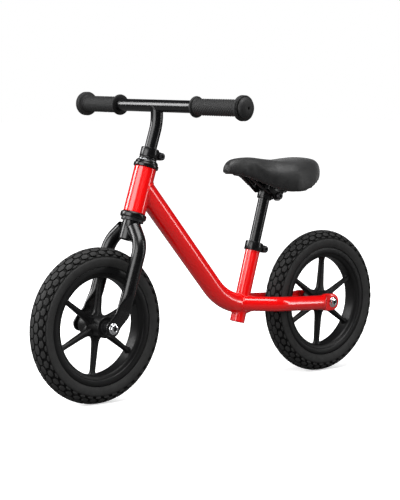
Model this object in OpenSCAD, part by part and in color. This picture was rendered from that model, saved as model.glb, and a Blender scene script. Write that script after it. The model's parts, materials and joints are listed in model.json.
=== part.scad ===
// Child's balance bike: welded steel frame, two six-spoke wheels, adjustable bar and saddle.
// +X is the direction of travel, +Y the rider's left, +Z up.
// The origin lies on the ground, midway between the axles.

/* [Wheels] */
// Outside radius of both tyres
wheel_r = 142; // [138:1:146]
// Distance between the two axles
wheelbase = 566; // [556:1:576]
// Width of the tyre at its widest
tyre_w = 43.8; // [40:0.2:45]
// Radius where the tyre meets the edge of the rim
rim_edge_r = 108.8; // [106:0.2:110]
// Radius of the six openings between the spokes
rim_open_r = 88.5; // [86:0.5:92]
// Outside radius of the hub barrel
hub_r = 19.5; // [18:0.5:21]
// Half the length of the hub barrel
hub_half = 31; // [29:0.5:32]

/* [Steering] */
// Lean of the steering axis from vertical, in degrees
head_angle = 18; // [17:0.5:19]
// X of the steering axis at the height of the axles
steer_x = 261.3; // [258:0.1:264]
// Distance up the steering axis from axle height to the head tube
head_s = 210; // [205:1:215]
// Length of the head tube
head_len = 85; // [80:1:90]
// Outside radius of the head tube
head_r = 20.4; // [20.3:0.1:20.8]
// Outside radius of the steerer tube
steerer_r = 14.3; // [14:0.1:14.5]
// Outside radius of the crown tube below the head tube
crown_r = 16.7; // [16.4:0.1:17]
// Outside radius of each fork leg
leg_r = 12.7; // [12:0.1:13]
// Sideways distance of each fork leg from the centre plane
leg_y = 45.5; // [44:0.5:47]

/* [Frame] */
// Outside radius of the main tube at the head tube
main_r_top = 20.1; // [19.6:0.1:20.2]
// Outside radius of the main tube at its lower end
main_r_low = 19.3; // [19:0.1:19.6]
// Fall of the main tube's straight part from horizontal, in degrees
main_angle = 48.8; // [47:0.1:50]
// Radius of the main tube's bend
main_bend_r = 117; // [110:1:122]
// X where the main tube's bend ends
bend_end_x = -75.4; // [-78:0.1:-72]
// Z where the main tube's bend ends
bend_end_z = 152.7; // [150:0.1:156]
// Fall of the rear end of the frame towards the axle, in degrees
stay_angle = 3.1; // [2.5:0.1:3.5]
// Outside radius of each chainstay
stay_r = 14.3; // [13.8:0.1:14.5]
// Sideways distance of each chainstay from the centre plane
stay_y = 39.8; // [39.5:0.1:41]
// Wall thickness of the frame tubes
wall = 1.8; // [1.2:0.1:2.4]

/* [Seat] */
// Lean of the seat tube from vertical, in degrees
seat_angle = 16.1; // [15:0.1:17]
// X of the seat tube's axis at the height of the axles
seat_x = -66.6; // [-69:0.1:-64]
// Outside radius of the seat tube
seat_tube_r = 14.3; // [14:0.1:14.6]
// Outside radius of the seatpost
post_r = 11.1; // [10.9:0.1:11.2]
// Length of the seatpost
post_len = 191; // [170:1:195]
// Length of the saddle
saddle_len = 253; // [245:1:260]
// Greatest width of the saddle
saddle_w = 126; // [120:1:140]
// Height of the saddle's highest point above the ground
saddle_top = 435; // [432:1:438]

/* [Handlebar] */
// Outside radius of the stem tube and the crossbar
bar_r = 11.4; // [11.2:0.1:11.5]
// Height of the crossbar's axis above the ground
bar_z = 535.5; // [530:0.5:540]
// Distance of each grip's inner flange from the centre plane
grip_in = 107; // [100:1:112]
// Distance of each grip's outer end from the centre plane
grip_out = 237; // [230:1:242]
// Backward sweep of the bar's ends, in degrees
sweep = 4.2; // [0:0.1:6]

/* [Hidden] */
$fn = 96;
e = 0.01;           // a cut runs this far past the face it opens
fit = 0.1;          // radial clearance of the two sliding tubes
seam = 0.05;        // clearance between pieces of one body
lap = 1;            // length by which joined stretches of one tube overlap
nest = 0.05;        // how far inside its neighbour's skin a lapped stretch lies
through = 200;      // a length that passes right through any piece

axle_x = wheelbase / 2;
head_top = head_s + head_len;

// Headset and stem collar, measured up the steering axis
cup_h = 11;                         // visible height of the lower cup
cup_r = 24.2;                       // outside radius of the lower cup
cup_press = 10;                     // depth of each cup's spigot in the head tube
dome_h = 14;                        // visible height of the upper cup
dome_r = 23.1;                      // outside radius of the upper cup at its foot
head_wall = 3;
cone_room_r = 15.2;                 // bore of both cups, round the steerer
crown_top = head_s - cup_h - 5;     // top of the crown tube
race_r = 21;                        // crown race
race_h = 7.2;
race_room_r = 22;                   // recess for it in the lower cup
race_room_h = 7.5;
cone_r = 17.5;                      // top cone
cone_h = 6.6;
cone_s = head_top + 7.9;
dome_open_r = 17.9;                 // opening of the upper cup
dome_room_r = 19.6;                 // room for the balls inside it
dome_room_h = 5.6;
dome_floor = 3;
dome_foot_h = 6;                    // straight foot of the upper cup
dome_round = 9;                     // radius of its shoulder
locknut_r = 16.4;
locknut_h = 5.3;
lower_balls_r = 18.6;
upper_balls_r = 17;
balls_count = 18;
crown_low = 158.6;                  // open lower end of the crown tube
stem_collar_s = head_top + 20;      // lower face of the stem collar
stem_collar_h = 17;
stem_collar_r = 16.7;
steerer_top = stem_collar_s + stem_collar_h;
tube_slot_w = 2;                    // slot that lets a collar squeeze its tube
tube_slot_h = 22;

// Fork leg, in the leaning plane of the steering axis
leg_fwd = 3.5;                      // forward offset of the leg's round part
leg_flare = 45;                     // angle of the leg's upper end from the steering axis
leg_bend_r = 48;
leg_bend_s = 132;                   // where the leg has become parallel to the axis
leg_flat_s = 50;                    // where the round tube starts to flatten
plate_s = 33;                       // where it has become a flat plate
plate_t = 5;                        // thickness of the flattened ends
leg_plate_back = 12;                // the fork's plate behind and ahead of the leg's axis
leg_plate_fwd = 18;
leg_end_r = 15;                     // round ends of the plates
leg_reach = 34;                     // length of the leg's upper stretch, into the crown
fork_plate_y = 48;                  // middle of the fork's flattened ends
axle_f = (axle_x - steer_x) * cos(head_angle);   // axle ahead of the steering axis
axle_s = -(axle_x - steer_x) * sin(head_angle);  // axle along the steering axis

// Rear end
rear_plate_y = 37;                  // middle of the chainstays' flattened ends
stay_flat_x = -249;                 // where the round tube starts to flatten
stay_plate_x = -263;                // where it has become a flat plate
stay_plate_h = 35;
stay_end_r = 16.5;
main_tail = 13;                     // the main tube runs on this far past its bend
stay_splay = 25;                    // angle at which a stay leaves the main tube
stay_start_x = -62;                 // where a stay's axis starts, inside the main tube
stay_start_y = 6;
stay_bend_r = 60;

// Wheel bearings, bolts and axles
bearing_r = 13;
bearing_w = 8;
axle_r = 5;
bolt_r = 3;
bolt_room = 0.2;                    // radial clearance of the bolts' holes
hub_bore_r = 9.5;
ring_w = 2.4;                       // wall of a bearing's rings
shield = 0.6;                       // its covers' thickness
spacer_r = 8;
axle_bolt_len = 20;
flange_r = 10.3;                    // flange of the axle bolts
flange_t = 1.6;
axle_head_r = 8;
axle_head_h = 5.4;
axle_key_r = 3.5;                   // hexagonal recess in the head

// Collars with a slot, two ears and a cross bolt
ear_t = 5;
slot_w = 2.4;
clamp_head_r = 7;
clamp_head_h = 6;
clamp_bolt_len = 20;
key_r = 2.9;                        // hexagonal recess in the head
key_depth = 3.5;
nut_r = 6.2;
nut_h = 5;
seat_collar_s = 116.4;              // lower face of the seat collar, up the seat axis
seat_collar_h = 17;
seat_collar_r = 17.3;
seat_collar_b = 23;                 // its bolt behind the seat axis
stem_collar_b = 22.8;               // the stem collar's bolt behind the steering axis
seat_tube_top = seat_collar_s + seat_collar_h - 0.5;
stub_low = -25;                     // open lower end of the seat tube
sleeve_low = 40;                    // where its bore narrows to guide the seatpost
post_low = 45;                      // lower end of the seatpost
post_top = post_low + post_len;

// Saddle clamp, up the seat axis
saddle_clamp_s = 219.7;
saddle_clamp_h = post_top - saddle_clamp_s + 2;
saddle_clamp_r = 14.4;
saddle_ear = 5.2;                   // half the width of the clamp's ears
saddle_ear_r = 6.5;
saddle_bolt_s = 231;
saddle_bolt_b = 15.5;
rail_r = 3;
rail_y = 18;
cup_disc_r = 10;
cup_disc_in = 5.5;                  // the discs lie this far to this far from the middle
cup_disc_out = 22;
cup_room_r = 16.4;                  // hollow that clears the clamp's band
rail_end_y = [7, 26];               // front and back ends of the rails, from the middle
rail_end_x = [-42, -195];           // from the nose
rail_end_z = [-23, -27];            // from the saddle's top
rail_flat = [24, 22];               // level stretch ahead of and behind the bolt
tilt_x = seat_x - saddle_bolt_s * sin(seat_angle) - saddle_bolt_b * cos(seat_angle);
tilt_z = wheel_r + saddle_bolt_s * cos(seat_angle) - saddle_bolt_b * sin(seat_angle);
rail_z = tilt_z + 8;
nose_x = -20;                       // foremost point of the saddle

// Stem bend
stem_bend_r = 90;
stem_x = 143.8;                     // the crossbar's place fore and aft
stem_bend_s = (steer_x - stem_x - stem_bend_r * (1 - cos(head_angle))) / sin(head_angle);
stem_bend_top = wheel_r + stem_bend_s * cos(head_angle) + stem_bend_r * sin(head_angle);
stem_low = 190;                     // lower end of the stem tube inside the steerer
bar_half = 90;                      // half the straight middle of the crossbar
bar_bend_r = 200;

// ---------- shared shapes ----------

module on_steer(s = 0) {
    translate([steer_x, 0, wheel_r]) rotate([0, -head_angle, 0]) translate([0, 0, s]) children();
}

module on_seat(s = 0) {
    translate([seat_x, 0, wheel_r]) rotate([0, -seat_angle, 0]) translate([0, 0, s]) children();
}

module ring(ro, ri, h) {
    difference() {
        cylinder(r = ro, h = h);
        translate([0, 0, -e]) cylinder(r = ri, h = h + 2 * e);
    }
}

// A cylinder along Y, centred on y
module across(r, len, y = 0) {
    translate([0, y, 0]) rotate([90, 0, 0]) cylinder(r = r, h = len, center = true);
}

// A bend in the XY plane about the origin, from angle a0 over angle a. It is a hair
// slimmer than the straight tubes at its ends and reaches a lap into each of them.
module bend(R, a0, a, ro, ri = 0) {
    more = lap / R * 180 / PI;
    rotate([0, 0, a0 - more]) rotate_extrude(angle = a + 2 * more) translate([R, 0]) difference() {
        circle(ro - nest);
        if (ri > 0) circle(ri + nest);
    }
}

module mirror_y(left) {
    if (left) children();
    else mirror([0, 1, 0]) children();
}

// Split collar: ring round the local Z axis, ears towards -X, bolt along Y at -b
module split_collar(ro, ri, h, b) {
    ear_w = ear_t + slot_w / 2;
    difference() {
        union() {
            cylinder(r = ro, h = h);
            translate([-b, 0, h / 2]) across(h / 2 - 1, 2 * ear_w);
            translate([-b, -ear_w, 1]) cube([b, 2 * ear_w, h - 2]);
        }
        translate([0, 0, -e]) cylinder(r = ri, h = h + 2 * e);
        translate([-b - h, -slot_w / 2, -e]) cube([b + h, slot_w, h + 2 * e]);
        translate([-b, 0, h / 2]) across(bolt_r + bolt_room, 4 * ear_w);
    }
}

// Socket-head bolt along Y, its head's inner face at y
module cross_bolt(y, len) {
    difference() {
        union() {
            across(clamp_head_r, clamp_head_h, y + clamp_head_h / 2);
            across(bolt_r, len, y - len / 2 + e);
        }
        translate([0, y + clamp_head_h - key_depth, 0]) rotate([-90, 0, 0])
            cylinder(r = key_r, h = key_depth + 0.5, $fn = 6);
    }
}

module hex_nut(y) {
    difference() {
        translate([0, y, 0]) rotate([90, 0, 0]) cylinder(r = nut_r, h = nut_h, $fn = 6);
        across(bolt_r + seam, 3 * nut_h, y);
    }
}

// ---------- frame ----------

module head_solid() { on_steer(head_s) cylinder(r = head_r, h = head_len); }

module seat_solid() { on_seat(stub_low) cylinder(r = seat_tube_r, h = seat_tube_top - stub_low); }

// Main tube, whole or with the bore of its walls: straight part, bend and short tail
module main_run(t = 0) {
    cx = bend_end_x - main_bend_r * sin(stay_angle);
    cz = bend_end_z + main_bend_r * cos(stay_angle);
    x0 = cx + main_bend_r * sin(main_angle);
    z0 = cz - main_bend_r * cos(main_angle);
    // distance from the bend to the steering axis along the straight part
    run = ((steer_x - x0) * cos(head_angle) + (wheel_r - z0) * sin(head_angle))
        / cos(main_angle - head_angle);
    ri = t > 0 ? main_r_low - t : 0;
    translate([cx, 0, cz]) rotate([90, 0, 0])
        bend(main_bend_r, stay_angle - 90, main_angle - stay_angle, main_r_low, ri);
    translate([x0, 0, z0]) rotate([0, 90 - main_angle, 0]) difference() {
        cylinder(r1 = main_r_low, r2 = main_r_top, h = run);
        if (t > 0) translate([0, 0, -e]) cylinder(r1 = ri, r2 = main_r_top - t, h = run + 2 * e);
    }
    translate([bend_end_x, 0, bend_end_z]) rotate([0, -90 - stay_angle, 0]) difference() {
        cylinder(r = main_r_low, h = main_tail);
        if (t > 0) translate([0, 0, -e]) cylinder(r = ri, h = main_tail - t + e);
    }
}

module head_tube() {
    color("red") on_steer(head_s) ring(head_r, head_r - head_wall, head_len);
}

module main_tube() {
    color("red") difference() {
        main_run(wall);
        head_solid();
        seat_solid();
    }
}

module seat_tube() {
    len = seat_tube_top - stub_low;
    color("red") on_seat(stub_low) difference() {
        cylinder(r = seat_tube_r, h = len);
        translate([0, 0, -e]) cylinder(r = seat_tube_r - wall, h = sleeve_low - stub_low + e);
        translate([0, 0, -e]) cylinder(r = post_r + fit, h = len + 2 * e);
        translate([-through, -tube_slot_w / 2, len - tube_slot_h]) cube([through, tube_slot_w, through]);
    }
}

// Round part of the left stay, solid or with its wall only, level along X
module stay_run(t) {
    corner_x = stay_start_x - (stay_y - stay_start_y) / tan(stay_splay);
    tan_len = stay_bend_r * tan(stay_splay / 2);
    bend_x = corner_x - tan_len;
    start_len = (stay_y - stay_start_y) / sin(stay_splay) - tan_len;
    translate([bend_x, stay_y, 0]) rotate([0, -90, 0])
        ring(stay_r, stay_r - t, bend_x - stay_flat_x);
    translate([bend_x, stay_y - stay_bend_r, 0])
        bend(stay_bend_r, 90 - stay_splay, stay_splay, stay_r, stay_r - t);
    translate([corner_x, stay_y, 0]) rotate([0, 0, -stay_splay]) rotate([0, 90, 0])
        translate([0, 0, tan_len]) ring(stay_r, stay_r - t, start_len);
}

// Crimped end of the left stay with its bolt hole
module stay_end() {
    difference() {
        union() {
            hull() {
                translate([stay_flat_x + lap, stay_y, 0]) rotate([0, -90, 0])
                    cylinder(r = stay_r - nest, h = lap, $fn = 32);
                translate([stay_plate_x, rear_plate_y - plate_t / 2, -stay_plate_h / 2])
                    cube([lap, plate_t, stay_plate_h]);
            }
            translate([-axle_x, rear_plate_y, 0]) across(stay_end_r, plate_t);
            translate([-axle_x, rear_plate_y - plate_t / 2, -stay_end_r])
                cube([stay_plate_x + axle_x + lap / 2, plate_t, 2 * stay_end_r]);
        }
        translate([-axle_x, rear_plate_y, 0]) across(bolt_r + bolt_room, 4 * plate_t);
    }
}

module chainstay(left) {
    color("red") mirror_y(left) difference() {
        translate([-axle_x, 0, wheel_r]) rotate([0, -stay_angle, 0]) translate([axle_x, 0, 0]) {
            stay_run(wall);
            stay_end();
        }
        main_run();
        seat_solid();
    }
}

module left_chainstay() { chainstay(true); }
module right_chainstay() { chainstay(false); }

// ---------- headset ----------

module lower_headset_cup() {
    bead = cup_h / 2;
    color("black") on_steer(head_s) difference() {
        union() {
            translate([0, 0, -cup_h + bead]) rotate_extrude() union() {
                translate([0, -bead]) square([cup_r - bead, cup_h]);
                translate([cup_r - bead, 0]) circle(bead);
            }
            cylinder(r = head_r - head_wall - seam, h = cup_press);
        }
        translate([0, 0, -cup_h - e]) cylinder(r = race_room_r, h = race_room_h);
        translate([0, 0, -cup_h - e]) cylinder(r = cone_room_r, h = cup_h + cup_press + 2 * e);
    }
}

module upper_headset_cup() {
    color("black") on_steer(head_top) difference() {
        union() {
            rotate_extrude() difference() {
                union() {
                    square([dome_r, dome_foot_h]);
                    translate([dome_r - dome_round, dome_foot_h]) intersection() {
                        circle(dome_round);
                        square(dome_round);
                    }
                    square([dome_r - dome_round, dome_h]);
                    square([dome_r - 4, dome_h - 1.5]);
                }
                translate([0, dome_h]) square([dome_r, 2]);
            }
            translate([0, 0, -cup_press]) cylinder(r = head_r - head_wall - seam, h = cup_press + e);
        }
        translate([0, 0, -cup_press - e]) cylinder(r = cone_room_r, h = cup_press + dome_h);
        translate([0, 0, dome_floor]) cylinder(r = dome_room_r, h = dome_room_h);
        translate([0, 0, dome_floor]) cylinder(r = dome_open_r, h = dome_h);
    }
}

// Ball ring: balls held in a thin cage
module ball_ring(pitch_r, ball_r, count) {
    union() {
        translate([0, 0, -0.6]) ring(pitch_r + 0.5, pitch_r - 0.5, 1.2);
        for (i = [0:count - 1]) rotate([0, 0, i * 360 / count])
            translate([pitch_r, 0, 0]) sphere(ball_r, $fn = 24);
    }
}

module lower_headset_balls() {
    color("silver") on_steer(head_s - cup_h + 4.9) ball_ring(lower_balls_r, 2.4, balls_count);
}

module upper_headset_balls() {
    color("silver") on_steer(head_top + 5.3) ball_ring(upper_balls_r, 2.2, balls_count);
}

module crown_race() {
    color("dimgray") on_steer(crown_top) ring(race_r, steerer_r + seam, race_h);
}

module top_cone() {
    color("dimgray") on_steer(cone_s) ring(cone_r, steerer_r + seam, cone_h);
}

module headset_locknut() {
    color("black") on_steer(cone_s + cone_h + 0.1) ring(locknut_r, steerer_r + seam, locknut_h);
}

// ---------- fork ----------

module steerer_tube() {
    low = crown_low + 2;
    len = steerer_top - low - 0.5;
    color("dimgray") on_steer(low) difference() {
        ring(steerer_r, bar_r + fit, len);
        translate([-through, -tube_slot_w / 2, len + 0.5 - tube_slot_h])
            cube([through, tube_slot_w, through]);
    }
}

module crown_tube() {
    color("black") on_steer(crown_low) ring(crown_r, steerer_r + seam, crown_top - crown_low);
}

// Round part of the left leg, in steering-axis coordinates
module leg_run() {
    ri = leg_r - wall;
    top_y = leg_y - leg_bend_r * (1 - cos(leg_flare));
    top_s = leg_bend_s + leg_bend_r * sin(leg_flare);
    translate([leg_fwd, leg_y, leg_flat_s]) ring(leg_r, ri, leg_bend_s - leg_flat_s);
    translate([leg_fwd, leg_y - leg_bend_r, leg_bend_s]) rotate([90, 0, 90])
        bend(leg_bend_r, 0, leg_flare, leg_r, ri);
    translate([leg_fwd, top_y, top_s]) rotate([leg_flare, 0, 0]) ring(leg_r, ri, leg_reach);
}

// Flattened end of the left leg, reaching forward to the axle
module leg_end() {
    difference() {
        union() {
            hull() {
                translate([leg_fwd, leg_y, leg_flat_s]) cylinder(r = leg_r - nest, h = lap, $fn = 32);
                translate([leg_fwd - leg_plate_back, fork_plate_y - plate_t / 2, plate_s])
                    cube([leg_plate_back + leg_plate_fwd, plate_t, lap]);
            }
            translate([0, fork_plate_y + plate_t / 2, 0]) rotate([90, 0, 0]) linear_extrude(plate_t) union() {
                translate([axle_f, axle_s]) circle(leg_end_r);
                polygon([
                    [leg_fwd - leg_plate_back, plate_s + lap / 2],
                    [leg_fwd + leg_plate_fwd, plate_s + lap / 2],
                    [axle_f + leg_end_r * cos(8), axle_s + leg_end_r * sin(8)],
                    [axle_f - leg_end_r * cos(20), axle_s - leg_end_r * sin(20)]
                ]);
            }
        }
        translate([axle_f, fork_plate_y, axle_s]) across(bolt_r + bolt_room, 4 * plate_t);
    }
}

module fork_leg(left) {
    color("black") mirror_y(left) on_steer() difference() {
        union() {
            leg_run();
            leg_end();
        }
        // clear of the crown tube, of the other leg, and level with the crown's top
        translate([0, 0, crown_low - crown_r]) cylinder(r = crown_r, h = through);
        translate([-through / 2, -through, 0]) cube(through);
        translate([-through / 2, -through / 2, crown_top - seam]) cube(through);
    }
}

module left_fork_leg() { fork_leg(true); }
module right_fork_leg() { fork_leg(false); }

// ---------- collars ----------

module stem_collar() {
    color("black") on_steer(stem_collar_s)
        split_collar(stem_collar_r, steerer_r + seam, stem_collar_h, stem_collar_b);
}

module stem_collar_bolt() {
    color("black") on_steer(stem_collar_s + stem_collar_h / 2) translate([-stem_collar_b, 0, 0])
        cross_bolt(ear_t + slot_w / 2 + seam, clamp_bolt_len);
}

module stem_collar_nut() {
    color("black") on_steer(stem_collar_s + stem_collar_h / 2) translate([-stem_collar_b, 0, 0])
        hex_nut(-ear_t - slot_w / 2 - seam);
}

module seat_collar() {
    color("black") on_seat(seat_collar_s)
        split_collar(seat_collar_r, seat_tube_r + seam, seat_collar_h, seat_collar_b);
}

module seat_collar_bolt() {
    color("black") on_seat(seat_collar_s + seat_collar_h / 2) translate([-seat_collar_b, 0, 0])
        cross_bolt(ear_t + slot_w / 2 + seam, clamp_bolt_len);
}

module seat_collar_nut() {
    color("black") on_seat(seat_collar_s + seat_collar_h / 2) translate([-seat_collar_b, 0, 0])
        hex_nut(-ear_t - slot_w / 2 - seam);
}

// ---------- wheels, about an axle through the origin along Y ----------

module at_axle(front) {
    translate([front ? axle_x : -axle_x, 0, wheel_r]) children();
}

module tyre() {
    half = tyre_w / 2;
    base_w = 15;
    base_r = 101;
    color("black") rotate([90, 0, 0]) rotate_extrude($fn = 180) union() {
        difference() {
            translate([wheel_r - half, 0]) circle(half);
            square([2 * rim_edge_r + 2 * seam, 2 * tyre_w], center = true);
        }
        translate([base_r, -base_w + seam]) square([rim_edge_r - base_r + 1, 2 * base_w - 2 * seam]);
    }
}

module spoke() {
    face = [[hub_r - 4, 8], [hub_r + 8, 5.6], [rim_open_r - 8, 3.8], [rim_open_r + 3, 6]];
    side = [[hub_r - 4, 9], [rim_open_r - 8, 5.5], [rim_open_r + 3, 6.5]];
    intersection() {
        rotate([90, 0, 0]) linear_extrude(40, center = true)
            polygon(concat(face, [for (i = [3:-1:0]) [face[i][0], -face[i][1]]]));
        linear_extrude(40, center = true)
            polygon(concat(side, [for (i = [2:-1:0]) [side[i][0], -side[i][1]]]));
    }
}

module rim(spoke_turn) {
    flange = 18.6;
    channel_r = 100.9;
    color("#1a1a1a") difference() {
        union() {
            rotate([90, 0, 0]) rotate_extrude($fn = 180) difference() {
                union() {
                    translate([rim_open_r, -flange + 4]) square([rim_edge_r - rim_open_r, 2 * flange - 8]);
                    translate([rim_open_r + 4, -flange]) square([rim_edge_r - rim_open_r - 4, 2 * flange]);
                }
                translate([channel_r, -15]) square([20, 30]);
            }
            across(hub_r, 2 * hub_half);
            for (i = [0:5]) rotate([0, 60 * i - 90 - spoke_turn, 0]) spoke();
        }
        across(hub_bore_r, through);
        for (side = [-1, 1]) across(bearing_r + seam, bearing_w + 2 * e, side * (hub_half - bearing_w / 2));
    }
}

module bearing_pair() {
    for (side = [-1, 1]) translate([0, side * (hub_half - bearing_w / 2), 0]) rotate([90, 0, 0])
        translate([0, 0, -bearing_w / 2]) children();
}

module outer_rings() {
    color("silver") bearing_pair() difference() {
        cylinder(r = bearing_r, h = bearing_w);
        translate([0, 0, -e]) cylinder(r = axle_r + ring_w + 0.5, h = bearing_w + 2 * e);
        translate([0, 0, shield]) cylinder(r = bearing_r - ring_w, h = bearing_w - 2 * shield);
    }
}

module inner_rings() {
    color("silver") bearing_pair() ring(axle_r + ring_w, axle_r + seam, bearing_w);
}

// Caged balls of both bearings
module bearing_balls() {
    color("silver") bearing_pair() translate([0, 0, bearing_w / 2]) ball_ring(9.1, 1.4, 10);
}

module axle(plate_y) {
    half = plate_y - plate_t / 2 - seam;
    color("silver") difference() {
        across(axle_r, 2 * half);
        for (side = [-1, 1]) across(bolt_r + seam, 18, side * (half + e - 9));
    }
}

module axle_bolts(plate_y) {
    color("silver") for (side = [0, 1]) mirror([0, side, 0])
        translate([0, plate_y + plate_t / 2 + seam, 0]) difference() {
            union() {
                across(flange_r, flange_t, flange_t / 2);
                across(axle_head_r, axle_head_h, axle_head_h / 2);
                across(bolt_r, axle_bolt_len, e - axle_bolt_len / 2);
            }
            translate([0, 1.8, 0]) rotate([-90, 0, 0]) cylinder(r = axle_key_r, h = axle_head_h, $fn = 6);
        }
}

module axle_spacers(plate_y) {
    out = plate_y - plate_t / 2 - seam;
    in = hub_half + seam;
    mid = hub_half - bearing_w - seam;
    color("dimgray") {
        for (side = [-1, 1]) difference() {
            across(spacer_r, out - in, side * (out + in) / 2);
            across(axle_r + seam, through);
        }
        difference() {
            across(7.2, 2 * mid);
            across(axle_r + seam, through);
        }
    }
}

module front_rim() { at_axle(true) rim(6); }
module front_tyre() { at_axle(true) tyre(); }
module front_bearing_outer_rings() { at_axle(true) outer_rings(); }
module front_bearing_inner_rings() { at_axle(true) inner_rings(); }
module front_bearing_balls() { at_axle(true) bearing_balls(); }
module front_axle() { at_axle(true) axle(fork_plate_y); }
module front_axle_bolts() { at_axle(true) axle_bolts(fork_plate_y); }
module front_axle_spacers() { at_axle(true) axle_spacers(fork_plate_y); }
module rear_rim() { at_axle(false) rim(4); }
module rear_tyre() { at_axle(false) tyre(); }
module rear_bearing_outer_rings() { at_axle(false) outer_rings(); }
module rear_bearing_inner_rings() { at_axle(false) inner_rings(); }
module rear_bearing_balls() { at_axle(false) bearing_balls(); }
module rear_axle() { at_axle(false) axle(rear_plate_y); }
module rear_axle_bolts() { at_axle(false) axle_bolts(rear_plate_y); }
module rear_axle_spacers() { at_axle(false) axle_spacers(rear_plate_y); }

// ---------- handlebar ----------

// Crossbar, whole or with the bore of its walls: straight middle, slight bends, swept ends
module bar_run(t = 0) {
    end_y = bar_half + bar_bend_r * sin(sweep);
    end_len = (grip_out - 6 - end_y) / cos(sweep);
    ri = t > 0 ? bar_r - t : 0;
    translate([stem_x, 0, bar_z]) {
        difference() {
            across(bar_r, 2 * bar_half);
            if (t > 0) across(ri, 2 * bar_half + 2);
        }
        for (m = [0, 1]) mirror([0, m, 0]) {
            translate([-bar_bend_r, bar_half, 0]) bend(bar_bend_r, 0, sweep, bar_r, ri);
            translate([-bar_bend_r * (1 - cos(sweep)), end_y, 0]) rotate([0, 0, sweep])
                rotate([-90, 0, 0]) difference() {
                    cylinder(r = bar_r, h = end_len);
                    if (t > 0) translate([0, 0, -e]) cylinder(r = ri, h = end_len + 2 * e);
                }
        }
    }
}

module crossbar() {
    color("black") bar_run(wall);
}

module stem_tube() {
    ri = bar_r - wall;
    color("black") difference() {
        union() {
            on_steer(stem_low) ring(bar_r, ri, stem_bend_s - stem_low);
            translate([stem_x + stem_bend_r, 0, stem_bend_top]) rotate([90, 0, 0])
                bend(stem_bend_r, 180, head_angle, bar_r, ri);
            translate([stem_x, 0, stem_bend_top]) ring(bar_r, ri, bar_z - stem_bend_top);
        }
        bar_run();
    }
}

// Grip along +Z from its inner flange, closed by a domed cap
module grip_body() {
    len = (grip_out - grip_in) / cos(sweep);
    difference() {
        union() {
            cylinder(r = 15, h = len - 4);
            rotate_extrude() {
                translate([0, 0]) square([17, 5]);
                translate([17, 2.5]) circle(2.5);
                for (z = [len - 15, len - 8.5]) {
                    translate([0, z - 2.8]) square([20, 5.6]);
                    translate([20, z]) circle(2.8);
                }
            }
            translate([0, 0, len - 8]) intersection() {
                cylinder(r = 18, h = 8);
                translate([0, 0, -22]) sphere(30);
            }
        }
        translate([0, 0, -e]) cylinder(r = bar_r + seam, h = len - 5);
        cylinder(r = 2.5, h = len + 10);
    }
}

module grip(left) {
    end_y = bar_half + bar_bend_r * sin(sweep);
    color("#222222") mirror_y(left)
        translate([stem_x - bar_bend_r * (1 - cos(sweep)), end_y, bar_z]) rotate([0, 0, sweep])
            rotate([-90, 0, 0]) translate([0, 0, (grip_in - end_y) / cos(sweep)]) grip_body();
}

module left_grip() { grip(true); }
module right_grip() { grip(false); }

// ---------- seatpost and saddle ----------

module seatpost() {
    color("black") on_seat(post_low) ring(post_r, post_r - 2, post_len);
}

module saddle_clamp() {
    color("black") on_seat(saddle_clamp_s) difference() {
        union() {
            cylinder(r = saddle_clamp_r, h = saddle_clamp_h);
            translate([-saddle_bolt_b, 0, saddle_bolt_s - saddle_clamp_s])
                across(saddle_ear_r, 2 * saddle_ear);
            translate([-saddle_bolt_b, -saddle_ear, 2])
                cube([saddle_bolt_b, 2 * saddle_ear, saddle_clamp_h - 5]);
        }
        translate([0, 0, -e]) cylinder(r = post_r + seam, h = saddle_clamp_h - 2 + e);
        translate([-through, -slot_w / 2, -e]) cube([through, slot_w, saddle_clamp_h + 2 * e]);
        translate([-saddle_bolt_b, 0, saddle_bolt_s - saddle_clamp_s]) across(bolt_r + fit, through);
    }
}

module at_tilt() {
    translate([tilt_x, 0, tilt_z]) children();
}

module saddle_clamp_bolt() {
    color("black") at_tilt() cross_bolt(cup_disc_out + fit, 2 * cup_disc_out + nut_h + 1);
}

module saddle_clamp_nut() {
    color("black") at_tilt() hex_nut(-cup_disc_out - fit);
}

// Serrated discs that grip the rails beside the clamp
module rail_cups() {
    color("#2b2b2b") for (side = [-1, 1]) at_tilt() difference() {
        union() {
            across(cup_disc_r, cup_disc_out - cup_disc_in, side * (cup_disc_out + cup_disc_in) / 2);
            translate([-9, side * rail_y - 4, 0]) cube([18, 8, 12]);
        }
        across(bolt_r + fit, through);
        translate([0, side * rail_y, rail_z - tilt_z]) rotate([0, 90, 0])
            cylinder(r = rail_r + seam, h = through, center = true);
        // hollow that clears the band round the seatpost
        translate([-tilt_x + seat_x, 0, wheel_r - tilt_z]) rotate([0, -seat_angle, 0])
            cylinder(r = cup_room_r, h = 2 * through);
    }
}

// Round rod between two points, with ball ends
module rod(p, q, r) {
    v = q - p;
    len = norm(v);
    translate(p) {
        rotate([0, acos(v[2] / len), atan2(v[1], v[0])]) cylinder(r = r - nest, h = len);
        sphere(r);
    }
    translate(q) sphere(r);
}

// One rail: flat in the clamp, rising at both ends into the base
module rail() {
    front = [tilt_x + rail_flat[0], rail_y, rail_z];
    back = [tilt_x - rail_flat[1], rail_y, rail_z];
    translate(back) rotate([0, 90, 0]) cylinder(r = rail_r, h = front[0] - back[0]);
    rod(front, [nose_x + rail_end_x[0], rail_end_y[0], saddle_top + rail_end_z[0]], rail_r);
    rod(back, [nose_x + rail_end_x[1], rail_end_y[1], saddle_top + rail_end_z[1]], rail_r);
}

module saddle_rails() {
    color("#303030") for (left = [true, false]) mirror_y(left) rail();
}

// Saddle outline, by distance t from nose (0) to tail (1)
function lerp(a, b, t) = a + (b - a) * t;
function knots(list, t, i = 0) =
    (i >= len(list) - 2 || t <= list[i + 1][0])
        ? let (u = (t - list[i][0]) / (list[i + 1][0] - list[i][0]))
          lerp(list[i][1], list[i + 1][1], (3 - 2 * u) * u * u)
        : knots(list, t, i + 1);
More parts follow.
